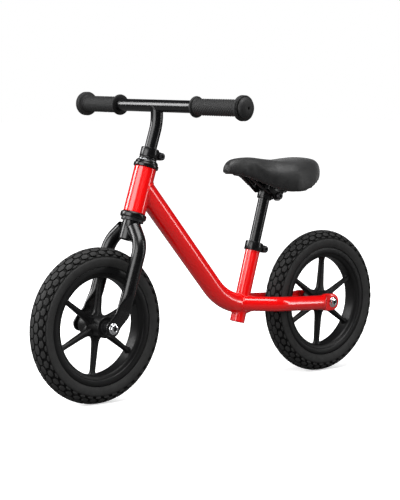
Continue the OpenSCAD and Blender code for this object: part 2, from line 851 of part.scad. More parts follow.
// share of the full half width, height of the top and of the lower edge
half_w = [[0, 0.2], [0.06, 0.3], [0.2, 0.36], [0.5, 0.89], [0.62, 1], [0.8, 0.87], [0.94, 0.5], [1, 0.2]];
top_h = [[0, -20], [0.06, -7], [0.17, 0], [0.55, -8.5], [0.8, -5], [0.92, -9], [1, -34]];
low_h = [[0, -27], [0.18, -35], [0.48, -66], [0.62, -67], [0.8, -56], [1, -38]];

// One cross-section: a squarish arch over the top, its feet on the lower edge.
// It is narrowed by inset, and its top and lower edge are let down by drop and low.
function arch(t, inset, drop, low) =
    let (w = saddle_w / 2 * knots(half_w, t) - inset)
    let (zt = saddle_top + knots(top_h, t) - drop)
    let (skirt = saddle_top + knots(low_h, t))
    let (zb = skirt - low)
    let (zm = lerp(skirt, zt, 0.45))
    let (x = nose_x - saddle_len * t)
    concat(
        [[x, 0.9 * w, zb]],
        [for (a = [0:15:180]) [
            x,
            w * sign(cos(a)) * pow(abs(cos(a)), 0.75),
            zm + (zt - zm) * pow(sin(a), 0.75)
        ]],
        [[x, -0.9 * w, zb]]
    );

// Loft of those sections from t0 to t1
module arch_loft(inset, drop, low, t0 = 0, t1 = 1) {
    steps = 24;
    per = 15;
    pts = [for (i = [0:steps]) each arch(lerp(t0, t1, i / steps), inset, drop, low)];
    faces = concat(
        [[for (j = [per - 1:-1:0]) j]],
        [for (i = [0:steps - 1]) for (j = [0:per - 1])
            [i * per + j, i * per + (j + 1) % per, (i + 1) * per + (j + 1) % per, (i + 1) * per + j]],
        [[for (j = [0:per - 1]) steps * per + j]]
    );
    polyhedron(pts, faces);
}

module saddle_cushion() {
    color("#2a2a2a") difference() {
        arch_loft(0, 0, 0);
        arch_loft(6, 15, 12, 0.07, 0.93);
    }
}

module saddle_base() {
    color("#151515") difference() {
        arch_loft(6.4, 15.4, -3, 0.072, 0.928);
        arch_loft(9.5, 19, 14, 0.09, 0.91);
    }
}

// ---------- build ----------

head_tube();
main_tube();
seat_tube();
left_chainstay();
right_chainstay();
upper_headset_cup();
lower_headset_cup();
upper_headset_balls();
lower_headset_balls();
seat_collar();
seat_collar_bolt();
seat_collar_nut();
rear_axle();
rear_axle_bolts();
rear_axle_spacers();
rear_bearing_inner_rings();
steerer_tube();
crown_tube();
left_fork_leg();
right_fork_leg();
crown_race();
top_cone();
headset_locknut();
stem_collar();
stem_collar_bolt();
stem_collar_nut();
front_axle();
front_axle_bolts();
front_axle_spacers();
front_bearing_inner_rings();
stem_tube();
crossbar();
left_grip();
right_grip();
front_rim();
front_tyre();
front_bearing_outer_rings();
front_bearing_balls();
rear_rim();
rear_tyre();
rear_bearing_outer_rings();
rear_bearing_balls();
seatpost();
saddle_clamp();
saddle_clamp_bolt();
saddle_clamp_nut();
rail_cups();
saddle_rails();
saddle_base();
saddle_cushion();
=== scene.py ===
import json
import math

import bmesh
import bpy
from mathutils import Matrix, Vector


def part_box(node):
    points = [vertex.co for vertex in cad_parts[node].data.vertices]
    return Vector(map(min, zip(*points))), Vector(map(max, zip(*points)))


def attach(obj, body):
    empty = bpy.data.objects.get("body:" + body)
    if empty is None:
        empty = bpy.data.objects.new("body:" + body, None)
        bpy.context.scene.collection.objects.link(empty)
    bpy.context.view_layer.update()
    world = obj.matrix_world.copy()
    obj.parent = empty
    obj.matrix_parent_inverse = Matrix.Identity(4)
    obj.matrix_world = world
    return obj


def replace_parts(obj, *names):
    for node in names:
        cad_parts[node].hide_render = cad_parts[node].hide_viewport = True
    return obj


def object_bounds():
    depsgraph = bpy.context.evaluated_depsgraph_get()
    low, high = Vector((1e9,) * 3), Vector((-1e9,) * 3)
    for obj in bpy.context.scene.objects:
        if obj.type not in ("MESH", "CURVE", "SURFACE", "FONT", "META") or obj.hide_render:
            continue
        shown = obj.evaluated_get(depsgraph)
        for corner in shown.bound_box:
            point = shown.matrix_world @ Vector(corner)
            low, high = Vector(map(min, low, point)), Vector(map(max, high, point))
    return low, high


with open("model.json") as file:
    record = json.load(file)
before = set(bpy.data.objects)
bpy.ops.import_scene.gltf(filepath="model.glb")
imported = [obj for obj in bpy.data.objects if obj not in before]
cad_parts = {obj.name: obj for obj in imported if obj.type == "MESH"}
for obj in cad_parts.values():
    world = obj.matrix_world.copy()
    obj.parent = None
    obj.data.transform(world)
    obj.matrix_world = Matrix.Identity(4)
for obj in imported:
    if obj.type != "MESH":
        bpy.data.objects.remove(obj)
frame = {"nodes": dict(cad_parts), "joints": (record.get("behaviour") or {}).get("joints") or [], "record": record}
cad_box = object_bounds()

MM = 0.001
TAU = 2 * math.pi
X_AXIS = Vector((1, 0, 0))
Y_AXIS = Vector((0, 1, 0))
Z_AXIS = Vector((0, 0, 1))
scene = bpy.context.scene


def joint(name):
    return next(j for j in frame["joints"] if j["name"] == name)


def smoothstep(a, b, x):
    t = min(1, max(0, (x - a) / (b - a)))
    return t * t * (3 - 2 * t)


def mix(a, b, t):
    return a + (b - a) * t


def toward(u, v, a):
    """The direction at angle a from u towards v."""
    return u * math.cos(a) + v * math.sin(a)


def show(name, data):
    obj = bpy.data.objects.new(name, data)
    scene.collection.objects.link(obj)
    return obj


# ---------- places and sizes, from the frame ----------

STEER = Vector(joint("steering")["axis"]).normalized()
STEER_BASE = Vector(joint("steering")["pos_m"])
SEAT = Vector(joint("saddle_height")["axis"]).normalized()
TILT = Vector(joint("saddle_tilt")["pos_m"])
HEAD_R = 20.4 * MM
MAIN_R_TOP = 20.1 * MM
MAIN_R_LOW = 19.3 * MM
MAIN_ANGLE = math.radians(48.8)
SEAT_R = 14.3 * MM
STAY_R = 14.3 * MM


def box_middle(node):
    low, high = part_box(node)
    return (low + high) / 2


# ---------- camera, floor, light ----------

def make_camera():
    eye = Vector((2.1152, 2.3828, 0.5946))
    yaw = math.radians(-131.099)
    pitch = math.radians(-5.977)
    roll = math.radians(0.435)
    ahead = Vector((math.cos(pitch) * math.cos(yaw), math.cos(pitch) * math.sin(yaw), math.sin(pitch)))
    level = ahead.cross(Z_AXIS).normalized()
    upright = level.cross(ahead)
    right = toward(level, upright, roll)
    up = toward(upright, -level, roll)
    data = bpy.data.cameras.new("camera")
    data.lens = 121.28
    data.sensor_width = 36
    data.clip_end = 100
    cam = show("camera", data)
    turn = Matrix((right, up, -ahead)).transposed().to_4x4()
    cam.matrix_world = Matrix.Translation(eye) @ turn
    scene.camera = cam
    return eye


EYE = make_camera()
TARGET = Vector((0, 0, 0.26))
TO_EYE = math.atan2(EYE.y - TARGET.y, EYE.x - TARGET.x)


def area_light(name, angle, height, distance, width, tall, power, shine=True):
    """A soft box, angle degrees to the left of the camera as seen from the object."""
    a = TO_EYE - math.radians(angle)
    data = bpy.data.lights.new(name, "AREA")
    data.shape = "RECTANGLE"
    data.size = width
    data.size_y = tall
    data.energy = power
    lamp = show(name, data)
    lamp.location = Vector((math.cos(a) * distance, math.sin(a) * distance, height))
    lamp.rotation_euler = (TARGET - lamp.location).to_track_quat("-Z", "Y").to_euler()
    lamp.visible_glossy = shine


def make_lights():
    area_light("soft_left", 45, 1.0, 2.6, 2.0, 2.2, 76)
    area_light("soft_far_left", 98, 1.5, 2.5, 0.9, 1.3, 46)
    area_light("soft_right", -88, 0.9, 2.4, 0.3, 2.2, 18)
    area_light("soft_top", -30, 2.6, 0.6, 2.0, 1.5, 84)
    area_light("fill", -14, 1.3, 3.4, 2.2, 1.6, 70, shine=False)


def add_node(tree, kind, inputs, **settings):
    """A new shader node. Each input is a value, or another node's output to link."""
    node = tree.nodes.new("ShaderNode" + kind)
    for key, value in settings.items():
        setattr(node, key, value)
    for key, value in inputs.items():
        if isinstance(value, bpy.types.NodeSocket):
            tree.links.new(value, node.inputs[key])
        else:
            node.inputs[key].default_value = value
    return node


def make_world():
    """White where the camera sees it, grey where the paint reflects it."""
    world = bpy.data.worlds.new("studio")
    world.use_nodes = True
    tree = world.node_tree
    tree.nodes.clear()
    direct = add_node(tree, "LightPath", {}).outputs["Is Camera Ray"]
    seen = add_node(tree, "Background", {"Color": (1, 1, 1, 1)}).outputs[0]
    lit = add_node(tree, "Background", {"Color": (0.92, 0.94, 1, 1), "Strength": 0.05}).outputs[0]
    pick = add_node(tree, "MixShader", {0: direct, 1: lit, 2: seen}).outputs[0]
    add_node(tree, "OutputWorld", {"Surface": pick})
    scene.world = world
    scene.view_settings.view_transform = "Standard"


# ---------- materials ----------

class Shade:
    """A node material with its Principled shader and short helpers."""

    def __init__(self, name, rough, metallic=0.0, coat=0.0, coat_rough=0.05, specular=0.5):
        self.mat = bpy.data.materials.new(name)
        self.mat.use_nodes = True
        self.links = self.mat.node_tree.links
        self.bsdf = self.mat.node_tree.nodes["Principled BSDF"]
        for key, value in (("Roughness", rough), ("Metallic", metallic), ("Coat Weight", coat),
                           ("Coat Roughness", coat_rough), ("Specular IOR Level", specular)):
            self.bsdf.inputs[key].default_value = value
        self.place = self.node("TexCoord", {}).outputs["Object"]

    def node(self, kind, inputs, **settings):
        return add_node(self.mat.node_tree, kind, inputs, **settings)

    def noise(self, scale, detail=3.0, rough=0.5):
        return self.node("TexNoise", {"Vector": self.place, "Scale": scale, "Detail": detail,
                                      "Roughness": rough}).outputs["Fac"]

    def cells(self, scale):
        """Distance to the edges of a grain's cells."""
        return self.node("TexVoronoi", {"Vector": self.place, "Scale": scale},
                         feature="DISTANCE_TO_EDGE").outputs["Distance"]

    def tone(self):
        """The mesh's painted shade of its rubber: 0, darkest, in the grooves and cuts, up to 1 on the tops."""
        return self.node("Attribute", {}, attribute_name="tone").outputs["Fac"]

    def times(self, a, b):
        return self.node("Math", {0: a, 1: b}, operation="MULTIPLY").outputs[0]

    def spread(self, value, low, high, to_low, to_high, kind="LINEAR"):
        return self.node("MapRange", {"Value": value, "From Min": low, "From Max": high, "To Min": to_low,
                                      "To Max": to_high}, interpolation_type=kind).outputs["Result"]

    def colour(self, value, dark, light):
        node = self.node("Mix", {"A": (*dark, 1), "B": (*light, 1), "Factor": value}, data_type="RGBA")
        self.links.new(node.outputs["Result"], self.bsdf.inputs["Base Color"])

    def roughness(self, value, low, high):
        self.links.new(self.spread(value, 0.3, 0.7, low, high), self.bsdf.inputs["Roughness"])

    def bump(self, value, strength, depth, below=None):
        inputs = {"Strength": strength, "Distance": depth, "Height": value}
        if below:
            inputs["Normal"] = below
        normal = self.node("Bump", inputs).outputs["Normal"]
        self.links.new(normal, self.bsdf.inputs["Normal"])
        return normal


def red_paint():
    s = Shade("red_paint", 0.2, coat=0.65, coat_rough=0.03)
    s.colour(s.noise(14, 4), (0.6, 0.0, 0.0004), (0.68, 0.0004, 0.0004))
    s.roughness(s.noise(30), 0.2, 0.24)
    return s.mat


def black_paint():
    s = Shade("black_paint", 0.25, coat=0.1, coat_rough=0.12, specular=0.36)
    s.colour(s.noise(30, 4), (0.0015, 0.0015, 0.0017), (0.003, 0.003, 0.0032))
    s.roughness(s.noise(40), 0.24, 0.29)
    return s.mat


def black_steel():
    s = Shade("black_steel", 0.35, metallic=0.5)
    s.colour(s.noise(300, 5), (0.012, 0.012, 0.013), (0.03, 0.03, 0.032))
    s.roughness(s.noise(500), 0.25, 0.45)
    s.bump(s.noise(1500, 2), 0.1, 0.0002)
    return s.mat


def chrome():
    s = Shade("chrome", 0.1, metallic=1)
    s.colour(s.noise(200, 4), (0.66, 0.67, 0.69), (0.86, 0.87, 0.88))
    s.roughness(s.noise(200), 0.08, 0.13)
    s.bump(s.noise(120), 0.02, 0.0002)
    return s.mat


def bare_steel():
    s = Shade("bare_steel", 0.35, metallic=1)
    s.colour(s.noise(350, 5), (0.36, 0.37, 0.38), (0.56, 0.57, 0.58))
    s.roughness(s.noise(600), 0.28, 0.45)
    s.bump(s.noise(1200, 2), 0.08, 0.0002)
    return s.mat


def black_plastic():
    s = Shade("black_plastic", 0.38, specular=0.25)
    s.colour(s.noise(60, 4), (0.002, 0.002, 0.0021), (0.0042, 0.0042, 0.0044))
    s.roughness(s.noise(300), 0.36, 0.5)
    s.bump(s.noise(2600, 3), 0.16, 0.00025)
    return s.mat


def tyre_rubber():
    s = Shade("tyre_rubber", 0.7, specular=0.25)
    mottle = s.spread(s.noise(45, 6, 0.65), 0.3, 0.7, 0.75, 1.1)
    # colour darkened in the grooves by the mesh's painted shade, over a random mottle
    s.colour(s.times(mottle, s.tone()), (0.0004, 0.0004, 0.0004), (0.023, 0.023, 0.0228))
    s.roughness(s.noise(120, 4), 0.55, 0.8)
    fine = s.bump(s.noise(1800, 4), 0.3, 0.0003)
    s.bump(s.noise(260, 4), 0.18, 0.0005, fine)
    return s.mat


def grip_rubber():
    s = Shade("grip_rubber", 0.6, specular=0.3)
    mottle = s.spread(s.noise(120, 4), 0.3, 0.7, 0.85, 1.1)
    # colour darkened in the cuts and grooves by the mesh's painted shade, over a random mottle
    s.colour(s.times(mottle, s.tone()), (0.0003, 0.0003, 0.0003), (0.014, 0.014, 0.0143))
    s.roughness(s.noise(400), 0.5, 0.7)
    s.bump(s.noise(2200, 3), 0.25, 0.0002)
    return s.mat


def saddle_cover():
    s = Shade("saddle_cover", 0.5, specular=0.45)
    s.bsdf.inputs["Sheen Weight"].default_value = 0.15
    s.bsdf.inputs["Sheen Roughness"].default_value = 0.4
    s.colour(s.noise(25, 5), (0.003, 0.003, 0.0031), (0.0055, 0.0055, 0.0057))
    s.roughness(s.noise(90, 4), 0.44, 0.58)
    grain = s.bump(s.cells(620), 0.35, 0.00035)
    s.bump(s.noise(70, 4), 0.08, 0.001, grain)
    return s.mat


def make_floor():
    mesh = bpy.data.meshes.new("floor")
    size = 14
    corners = [(-size, -size, 0), (size, -size, 0), (size, size, 0), (-size, size, 0)]
    mesh.from_pydata(corners, [], [(0, 1, 2, 3)])
    floor = show("floor", mesh)
    floor.location.z = cad_box[0][2]
    s = Shade("floor_paper", 0.9, specular=0.1)
    # plain white to the eye away from the object; near it the paper takes soft shadows
    seen = s.node("LightPath", {}).outputs["Is Camera Ray"]
    reach = s.node("VectorMath", {0: s.place}, operation="LENGTH").outputs["Value"]
    fade = s.spread(reach, 0.5, 1.3, 0.5, 1.1, "SMOOTHSTEP")
    s.bsdf.inputs["Emission Color"].default_value = (1, 1, 1, 1)
    s.links.new(s.times(seen, fade), s.bsdf.inputs["Emission Strength"])
    s.colour(seen, (0.13, 0.13, 0.13), (0.86, 0.86, 0.86))
    mesh.materials.append(s.mat)


MATERIALS = {make.__name__: make() for make in (
    red_paint, black_paint, black_steel, chrome, bare_steel, black_plastic, tyre_rubber, grip_rubber,
    saddle_cover)}
NODE_SLOT = {p["node"]: p["material_slot"] for p in frame["record"]["subparts"]}


def paint_cad():
    for name, obj in frame["nodes"].items():
        for slot in obj.material_slots:
            slot.material = MATERIALS[NODE_SLOT[name]]


# ---------- meshes ----------

# rubber whose colour takes painted shade in its grooves and painted light on its tops
SHADE_PAINTED_SLOTS = ("tyre_rubber", "grip_rubber")


def quads(n, m, ring=False):
    """Faces between n closed rows of m points. A ring also joins the last row to the first."""
    return [(i * m + j, i * m + (j + 1) % m, (i + 1) % n * m + (j + 1) % m, (i + 1) % n * m + j)
            for i in range(n if ring else n - 1) for j in range(m)]


class Parts:
    """Points and faces of one piece, gathered from several closed shapes."""

    def __init__(self):
        self.verts = []
        self.faces = []
        self.painted_shades = []

    def add(self, verts, faces, painted_shades=None):
        """Per-point painted shade, from 0 in a groove to 1 on a top, darkens the rubber's colour in its grooves
        and lightens its tops.
        """
        start = len(self.verts)
        self.verts += verts
        self.painted_shades += painted_shades or [0.6] * len(verts)
        self.faces += [tuple(start + i for i in f) for f in faces]

    def grid(self, rows, ring=False, caps=False, painted_shades=None):
        """A skin over closed rows of points. caps close the two open ends of a tube."""
        n = len(rows)
        m = len(rows[0])
        faces = quads(n, m, ring)
        if caps:
            faces.append(tuple(range(m - 1, -1, -1)))
            faces.append(tuple((n - 1) * m + j for j in range(m)))
        self.add([p for row in rows for p in row], faces, painted_shades)

    def mesh(self, name):
        mesh = bpy.data.meshes.new(name)
        mesh.from_pydata([tuple(v) for v in self.verts], [], self.faces)
        return mesh

    def piece(self, name, slot, body, sharp=35):
        """The new object, smooth except at edges over sharp degrees."""
        mesh = self.mesh(name)
        # the rubber's painted groove shade goes on the mesh as a point attribute
        if slot in SHADE_PAINTED_SLOTS:
            mesh.attributes.new("tone", "FLOAT", "POINT").data.foreach_set("value", self.painted_shades)
        mesh.validate()
        bm = bmesh.new()
        bm.from_mesh(mesh)
        bmesh.ops.recalc_face_normals(bm, faces=bm.faces)
        for face in bm.faces:
            face.smooth = True
        for edge in bm.edges:
            if len(edge.link_faces) == 2:
                edge.smooth = edge.calc_face_angle(0) < math.radians(sharp)
        bm.to_mesh(mesh)
        bm.free()
        obj = show(name, mesh)
        mesh.materials.append(MATERIALS[slot])
        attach(obj, body)
        return obj


def on_wheel(centre, r, y, a):
    """A point at radius r and sideways y, at angle a round an axle along Y."""
    return centre + Vector((r * math.sin(a), y, r * math.cos(a)))


def lathe_wheel(parts, centre, half, steps):
    """A ring round an axle: half is its left side's (radius, sideways) in mm, and the right mirrors it."""
    profile = [(r * MM, y * MM) for r, y in half + [(r, -y) for r, y in reversed(half) if y]]
    rows = [[on_wheel(centre, r, y, TAU * i / steps) for r, y in profile] for i in range(steps)]
    parts.grid(rows, ring=True)


# ---------- tyres ----------

TREAD_PITCHES = 44
TREAD_DEPTH = 3.2 * MM
TREAD_ROW = 24          # degrees round the section between rows of blocks
SHOULDER = 78           # where the tread has run out into the sidewall


def tyre(end):
    low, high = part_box(f"{end}_tyre")
    centre = (low + high) / 2
    outer = (high.x - low.x) / 2
    half = (high.y - low.y) / 2
    middle = outer - half
    rim_edge = 108.8 * MM
    bead = math.degrees(math.acos((rim_edge - middle) / half))

    def surface(b, depth, a):
        reach = half - depth
        return on_wheel(centre, middle + reach * math.cos(math.radians(b)),
                        reach * math.sin(math.radians(b)), a)

    def floor_depth(b):
        return TREAD_DEPTH * (1 - smoothstep(SHOULDER - 7, SHOULDER + 1, abs(b)))

    parts = Parts()
    # carcass: sidewalls with two fine moulded rings, then the bead inside the rim
    steps = 200
    around = 60
    angles = [-bead + 2 * bead * j / around for j in range(around + 1)]
    inner = rim_edge - 6 * MM
    foot = rim_edge + 0.2 * MM
    seat = [(foot, 16.4 * MM), (inner, 14 * MM), (inner, -14 * MM), (foot, -16.4 * MM)]
    rows = []
    for i in range(steps):
        a = TAU * i / steps
        row = []
        for b in angles:
            ring = 0.35 * MM * math.exp(-((abs(b) - 104) / 2.2) ** 2)
            row.append(surface(b, floor_depth(b) + 0.02 * MM - ring * 0.5, a))
        rows.append(row + [on_wheel(centre, r, y, a) for r, y in seat])
    # painted shade: the tread's floor between the blocks is darkest, the sidewall lighter, the bead seat inside
    # the rim dark
    painted_shades = [0.0 if abs(b) < SHOULDER - 2 else 0.85 for b in angles] + [0.2] * len(seat)
    parts.grid(rows, ring=True, painted_shades=painted_shades * steps)

    pitch = TAU / TREAD_PITCHES

    def block(a0, b0, outline):
        """A raised block with chamfered edges on the carcass; outline is in pitches and rows."""
        cu = sum(u for u, v in outline) / len(outline)
        cv = sum(v for u, v in outline) / len(outline)

        def loop(shrink, depth):
            out = []
            for u, v in outline:
                du = cu + (u - cu) * shrink
                dv = cv + (v - cv) * shrink
                b = b0 + dv * TREAD_ROW
                fade = 1 - smoothstep(SHOULDER - 8, SHOULDER, abs(b))
                out.append(surface(b, max(depth, TREAD_DEPTH * 0.98 * (1 - fade)), a0 + du * pitch))
            return out

        rows = [loop(1.0, TREAD_DEPTH + 0.4 * MM), loop(0.97, 0.45 * MM), loop(0.92, 0.1 * MM), loop(0.84, 0)]
        n = len(outline)
        verts = [p for row in rows for p in row]
        faces = quads(len(rows), n)
        b_mid = b0 + cv * TREAD_ROW
        verts.append(surface(b_mid, 0 if abs(b_mid) < SHOULDER - 8 else 0.9 * MM, a0 + cu * pitch))
        crown = len(verts) - 1
        faces += [(crown - n + j, crown - n + (j + 1) % n, crown) for j in range(n)]
        faces.append(tuple(range(n - 1, -1, -1)))
        # painted shade and light: each block is dark at its foot in the groove, lightest at its top's rounded
        # edge, a little darker in the top's middle
        parts.add(verts, faces, [0.0] * n + [0.5] * n + [1.0] * n + [0.9] * n + [0.75])

    # a block's half width in pitches, and its points' and flanks' reach in rows
    wide = 0.425
    point = 0.64
    flank = 0.36
    gap = 3 / TREAD_ROW
    hexagon = [(0, point - gap), (wide, flank - gap / 2), (wide, -flank + gap / 2),
               (0, -point + gap), (-wide, -flank + gap / 2), (-wide, flank - gap / 2)]
    lug = [(0, -point + gap), (wide, -flank + gap / 2), (wide * 0.9, 0.2), (-wide * 0.9, 0.2),
           (-wide, -flank + gap / 2)]
    for i in range(TREAD_PITCHES):
        for k in range(-2, 3):
            a0 = pitch * (i + (0.5 if k % 2 else 0))
            narrow = 0.8 if abs(k) == 2 else 1
            block(a0, k * TREAD_ROW, [(u * narrow, v) for u, v in hexagon])
        for side in (-1, 1):
            block(pitch * (i + 0.5), side * 3 * TREAD_ROW, [(0.72 * u, side * v) for u, v in lug])
    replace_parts(parts.piece(f"{end}_tyre_tread", "tyre_rubber", f"{end}_wheel", 30), f"{end}_tyre")


# ---------- rims ----------

def rim(end):
    centre = box_middle(f"{end}_tyre")
    parts = Parts()
    band = [(88.5, 0), (88.5, 9.5), (88.9, 12.2), (90.2, 14), (92.2, 15.3), (94.6, 15.9), (95.8, 16.2),
            (96.4, 17.2), (97.2, 18.1), (98.6, 18.6), (103, 18.75), (106.6, 18.6), (107.9, 18.0),
            (108.5, 16.9), (108.3, 15.6), (104, 14.9), (101.2, 14.6), (100.9, 13.5)]
    lathe_wheel(parts, centre, band, 160)

    hub = [(9.6, 30.2), (9.9, 30.9), (12.9, 31), (13.2, 30.6), (13.2, 29.8), (18.6, 29.8), (19.3, 29),
           (19.6, 27.6), (19.5, 24), (19.4, 20), (19.4, 12), (20.2, 9), (21.4, 6), (22, 3), (22.1, 0)]
    lathe_wheel(parts, centre, hub, 72)

    # each spoke: a cross of two ribs, flared into the hub and the rim
    stations = 26
    r0 = 15
    r1 = 91.5
    turned_back = math.radians(6 if end == "front" else 4)
    for k in range(6):
        a0 = TAU * k / 6 - turned_back
        out = toward(Z_AXIS, X_AXIS, a0)
        side = toward(X_AXIS, -Z_AXIS, a0)
        rows = []
        for i in range(stations + 1):
            t = i / stations
            r = mix(r0, r1, t - 0.06 * math.sin(TAU * t) / TAU * 2)
            taper = (r - r0) / (r1 - r0)
            flare = 4 * math.exp(-(r1 - 2.5 - r) / 3.2) if r < r1 - 2.5 else 4
            root = 5.5 * math.exp(-(r - 20) / 4.5) if r > 20 else 5.5
            w = (mix(6.6, 4.0, taper) + flare * 0.9 + root) * MM
            h = (mix(8.6, 5.9, taper) + flare * 0.55 + root * 0.35) * MM
            rib = mix(2.5, 1.7, taper) * MM + (flare + root) * 0.5 * MM
            rib = min(rib, w * 0.8)
            web = min(h * 0.42, 3.0 * MM)
            quarter = [(rib, h), (rib * 1.16, h * 0.93), (rib * 1.3, web * 1.6), (rib * 1.75, web * 1.2),
                       (w * 0.93, web), (w, web * 0.7)]
            section = quarter + [(x, -y) for x, y in reversed(quarter)]
            section += [(-x, -y) for x, y in quarter] + [(-x, y) for x, y in reversed(quarter)]
            rows.append([centre + out * (r * MM) + side * x + Y_AXIS * y for x, y in section])
        parts.grid(rows, caps=True)
    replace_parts(parts.piece(f"{end}_rim_moulding", "black_plastic", f"{end}_wheel", 40), f"{end}_rim")


# ---------- grips ----------

BAR_R = 11.4 * MM
BAR_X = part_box("crossbar")[1].x - BAR_R
BAR_BEND_R = 200 * MM       # the bar's ends sweep back in this bend, that far out
BAR_STRAIGHT = 90 * MM
SWEEP = math.radians(4.2)
GRIP_FROM = 107 * MM        # sideways from the middle to the inner end of a grip
GRIP_X0 = BAR_X - BAR_BEND_R * (1 - math.cos(SWEEP)) \
    - (GRIP_FROM - BAR_STRAIGHT - BAR_BEND_R * math.sin(SWEEP)) * math.tan(SWEEP)


def grip(side):
    """Rubber grip: diamond-cut sleeve between an inner flange and a double outer flange."""
    sign = 1 if side == "left" else -1
    axis = Vector((-math.sin(SWEEP), sign * math.cos(SWEEP), 0))
    across = Vector((math.cos(SWEEP), sign * math.sin(SWEEP), 0))
    start = Vector((GRIP_X0, sign * GRIP_FROM, box_middle(f"{side}_grip").z))

    profile = [(-0.3, 11.6), (-0.3, 14), (0, 17.2), (0.5, 18.5), (1.4, 19.2), (2.5, 19.4), (3.6, 19.2),
               (4.5, 18.4), (5.1, 17.2), (5.7, 15.9), (6.6, 15.2)]
    sleeve_from = 7.5
    sleeve_to = 108
    outer = [(109.2, 15.3), (110.4, 15.6), (111.2, 17), (111.7, 20.4), (112.6, 22.2), (114, 22.75),
             (115.5, 22.7), (116.9, 22.1), (117.5, 20.4), (118.2, 19.2), (118.9, 20.4), (119.6, 22.1),
             (120.6, 22.6), (121.4, 22.2), (121.8, 21.2), (121.5, 20.2), (121.9, 19.4), (123.6, 19),
             (126, 17.8), (128, 15.4), (129.4, 12), (130.15, 8), (130.35, 3.4), (130.1, 2.6), (127, 2.4)]
    grooves = (0, 5.7, 110.4, 118.2, 121.6)
    steps = 192
    axial = 150

    def pattern(s, a):
        """Depth of the diamond cuts, 0 to 1, at s mm along the sleeve and angle a round it."""
        count = 18      # cuts round the sleeve, and their lead in mm
        slope = 5.6
        edge = smoothstep(sleeve_from, sleeve_from + 3, s) * (1 - smoothstep(sleeve_to - 3, sleeve_to, s))
        turn = a / TAU * count
        one = abs((turn + s / slope) % 1 - 0.5) * 2
        two = abs((turn - s / slope) % 1 - 0.5) * 2
        return edge * (1 - min(1, 1.7 * min(one, two)))

    rows = []
    painted_shades = []
    stations = [(s, r, False) for s, r in profile]
    stations += [(mix(sleeve_from, sleeve_to, i / axial), 15.15, True) for i in range(axial + 1)]
    stations += [(s, r, False) for s, r in outer]
    for s, r, cut in stations:
        row = []
        # painted shade: rows in the flanges' grooves are darkest and other uncut rows mid; on the sleeve each
        # point darkens with the depth of its cut
        plain = 0.05 if any(abs(s - g) < 0.7 for g in grooves) else 0.6
        for j in range(steps):
            a = TAU * j / steps
            depth = pattern(s, a) if cut else 0
            radius = (r - 0.8 * depth) * MM
            painted_shades.append(1 - depth if cut else plain)
            row.append(start + axis * (s * MM) + toward(across, Z_AXIS, a) * radius)
        rows.append(row)
    parts = Parts()
    parts.grid(rows, caps=True, painted_shades=painted_shades)
    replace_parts(parts.piece(f"{side}_grip_sleeve", "grip_rubber", "handlebar", 50), f"{side}_grip")


# ---------- tubes ----------

def sweep(parts, path, radius, sides, cope=None):
    """A round tube along a path. radius is a number, or a function of the point's index.
    cope(point, ahead) gives where the tube's open first end meets another tube's wall."""
    ahead = (path[1] - path[0]).normalized()
    side = Y_AXIS if abs(ahead.y) < 0.9 else Z_AXIS
    side = (side - ahead * side.dot(ahead)).normalized()
    rows = []
    for i, p in enumerate(path):
        a = path[max(0, i - 1)]
        b = path[min(len(path) - 1, i + 1)]
        ahead = (b - a).normalized()
        side = (side - ahead * side.dot(ahead)).normalized()
        up = ahead.cross(side)
        r = radius(i) if callable(radius) else radius
        rows.append([p + toward(side, up, TAU * j / sides) * r for j in range(sides)])
    if cope:
        ahead = (path[0] - path[1]).normalized()
        rows.insert(0, [cope(p, ahead) for p in rows[0]])
    parts.grid(rows, caps=True)
    if cope:
        parts.faces.pop(-2)


def turned(name, node, origin, axis, profile, slot, body, steps=96):
    """A turned part: profile of (radius, distance) in mm about axis through origin."""
    side = (Y_AXIS - axis * axis.dot(Y_AXIS)).normalized()
    up = axis.cross(side)
    rays = [toward(side, up, TAU * i / steps) for i in range(steps)]
    rows = [[origin + out * (r * MM) + axis * (z * MM) for r, z in profile] for out in rays]
    parts = Parts()
    parts.grid(rows, ring=True)
    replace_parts(parts.piece(name, slot, body, 50), node)


def tube_profile(r, wall, z0, z1, roll=0.6):
    """Section of an open tube's wall with rolled edges, from z0 to z1."""
    i = r - wall
    return [(i, z0 + roll), (i + roll * 0.3, z0 + roll * 0.3), (i + roll, z0), (r - roll, z0),
            (r - roll * 0.3, z0 + roll * 0.3), (r, z0 + roll), (r, z0 + 2 * roll), (r, z1 - 2 * roll),
            (r, z1 - roll), (r - roll * 0.3, z1 - roll * 0.3), (r - roll, z1), (i + roll, z1),
            (i + roll * 0.3, z1 - roll * 0.3), (i, z1 - roll)]


def arc(centre, u, v, radius, a0, a1, steps):
    """Points on an arc in the plane of u and v, angles in radians from u towards v."""
    return [centre + toward(u, v, mix(a0, a1, i / steps)) * radius for i in range(steps + 1)]


AXLE_Z = STEER_BASE.z
REAR_AXLE = box_middle("rear_tyre")
SEAT_BASE = Vector((-66.6 * MM, 0, AXLE_Z))
STAY_ANGLE = math.radians(3.1)
STAY_START = (-62 * MM, 6 * MM)     # back and out from the rear end's frame
STAY_SPLAY = math.radians(25)
MAIN_BEND_R = 117 * MM
BEND_END = Vector((-75.4 * MM, 0, 152.7 * MM))
HEAD_S = 210                # mm along the steering axis from the axle's height
HEAD_TOP = HEAD_S + 85
CROWN_LOW = 158.6
CROWN_R = 16.7              # its radius in mm
FORE = Y_AXIS.cross(STEER).normalized()
LEG_R = 12.7 * MM
LEG_FORE = 3.5 * MM         # the legs stand this far in front of the steering axis
LEG_Y = 45.5 * MM
LEG_BEND_R = 48 * MM        # the bend from beside the wheel in to the crown starts at LEG_BEND_S
LEG_BEND_S = 132 * MM
LEG_FLARE = math.radians(45)
LEG_TOP_Y = LEG_Y - LEG_BEND_R * (1 - math.cos(LEG_FLARE))
LEG_TOP_S = LEG_BEND_S + LEG_BEND_R * math.sin(LEG_FLARE)


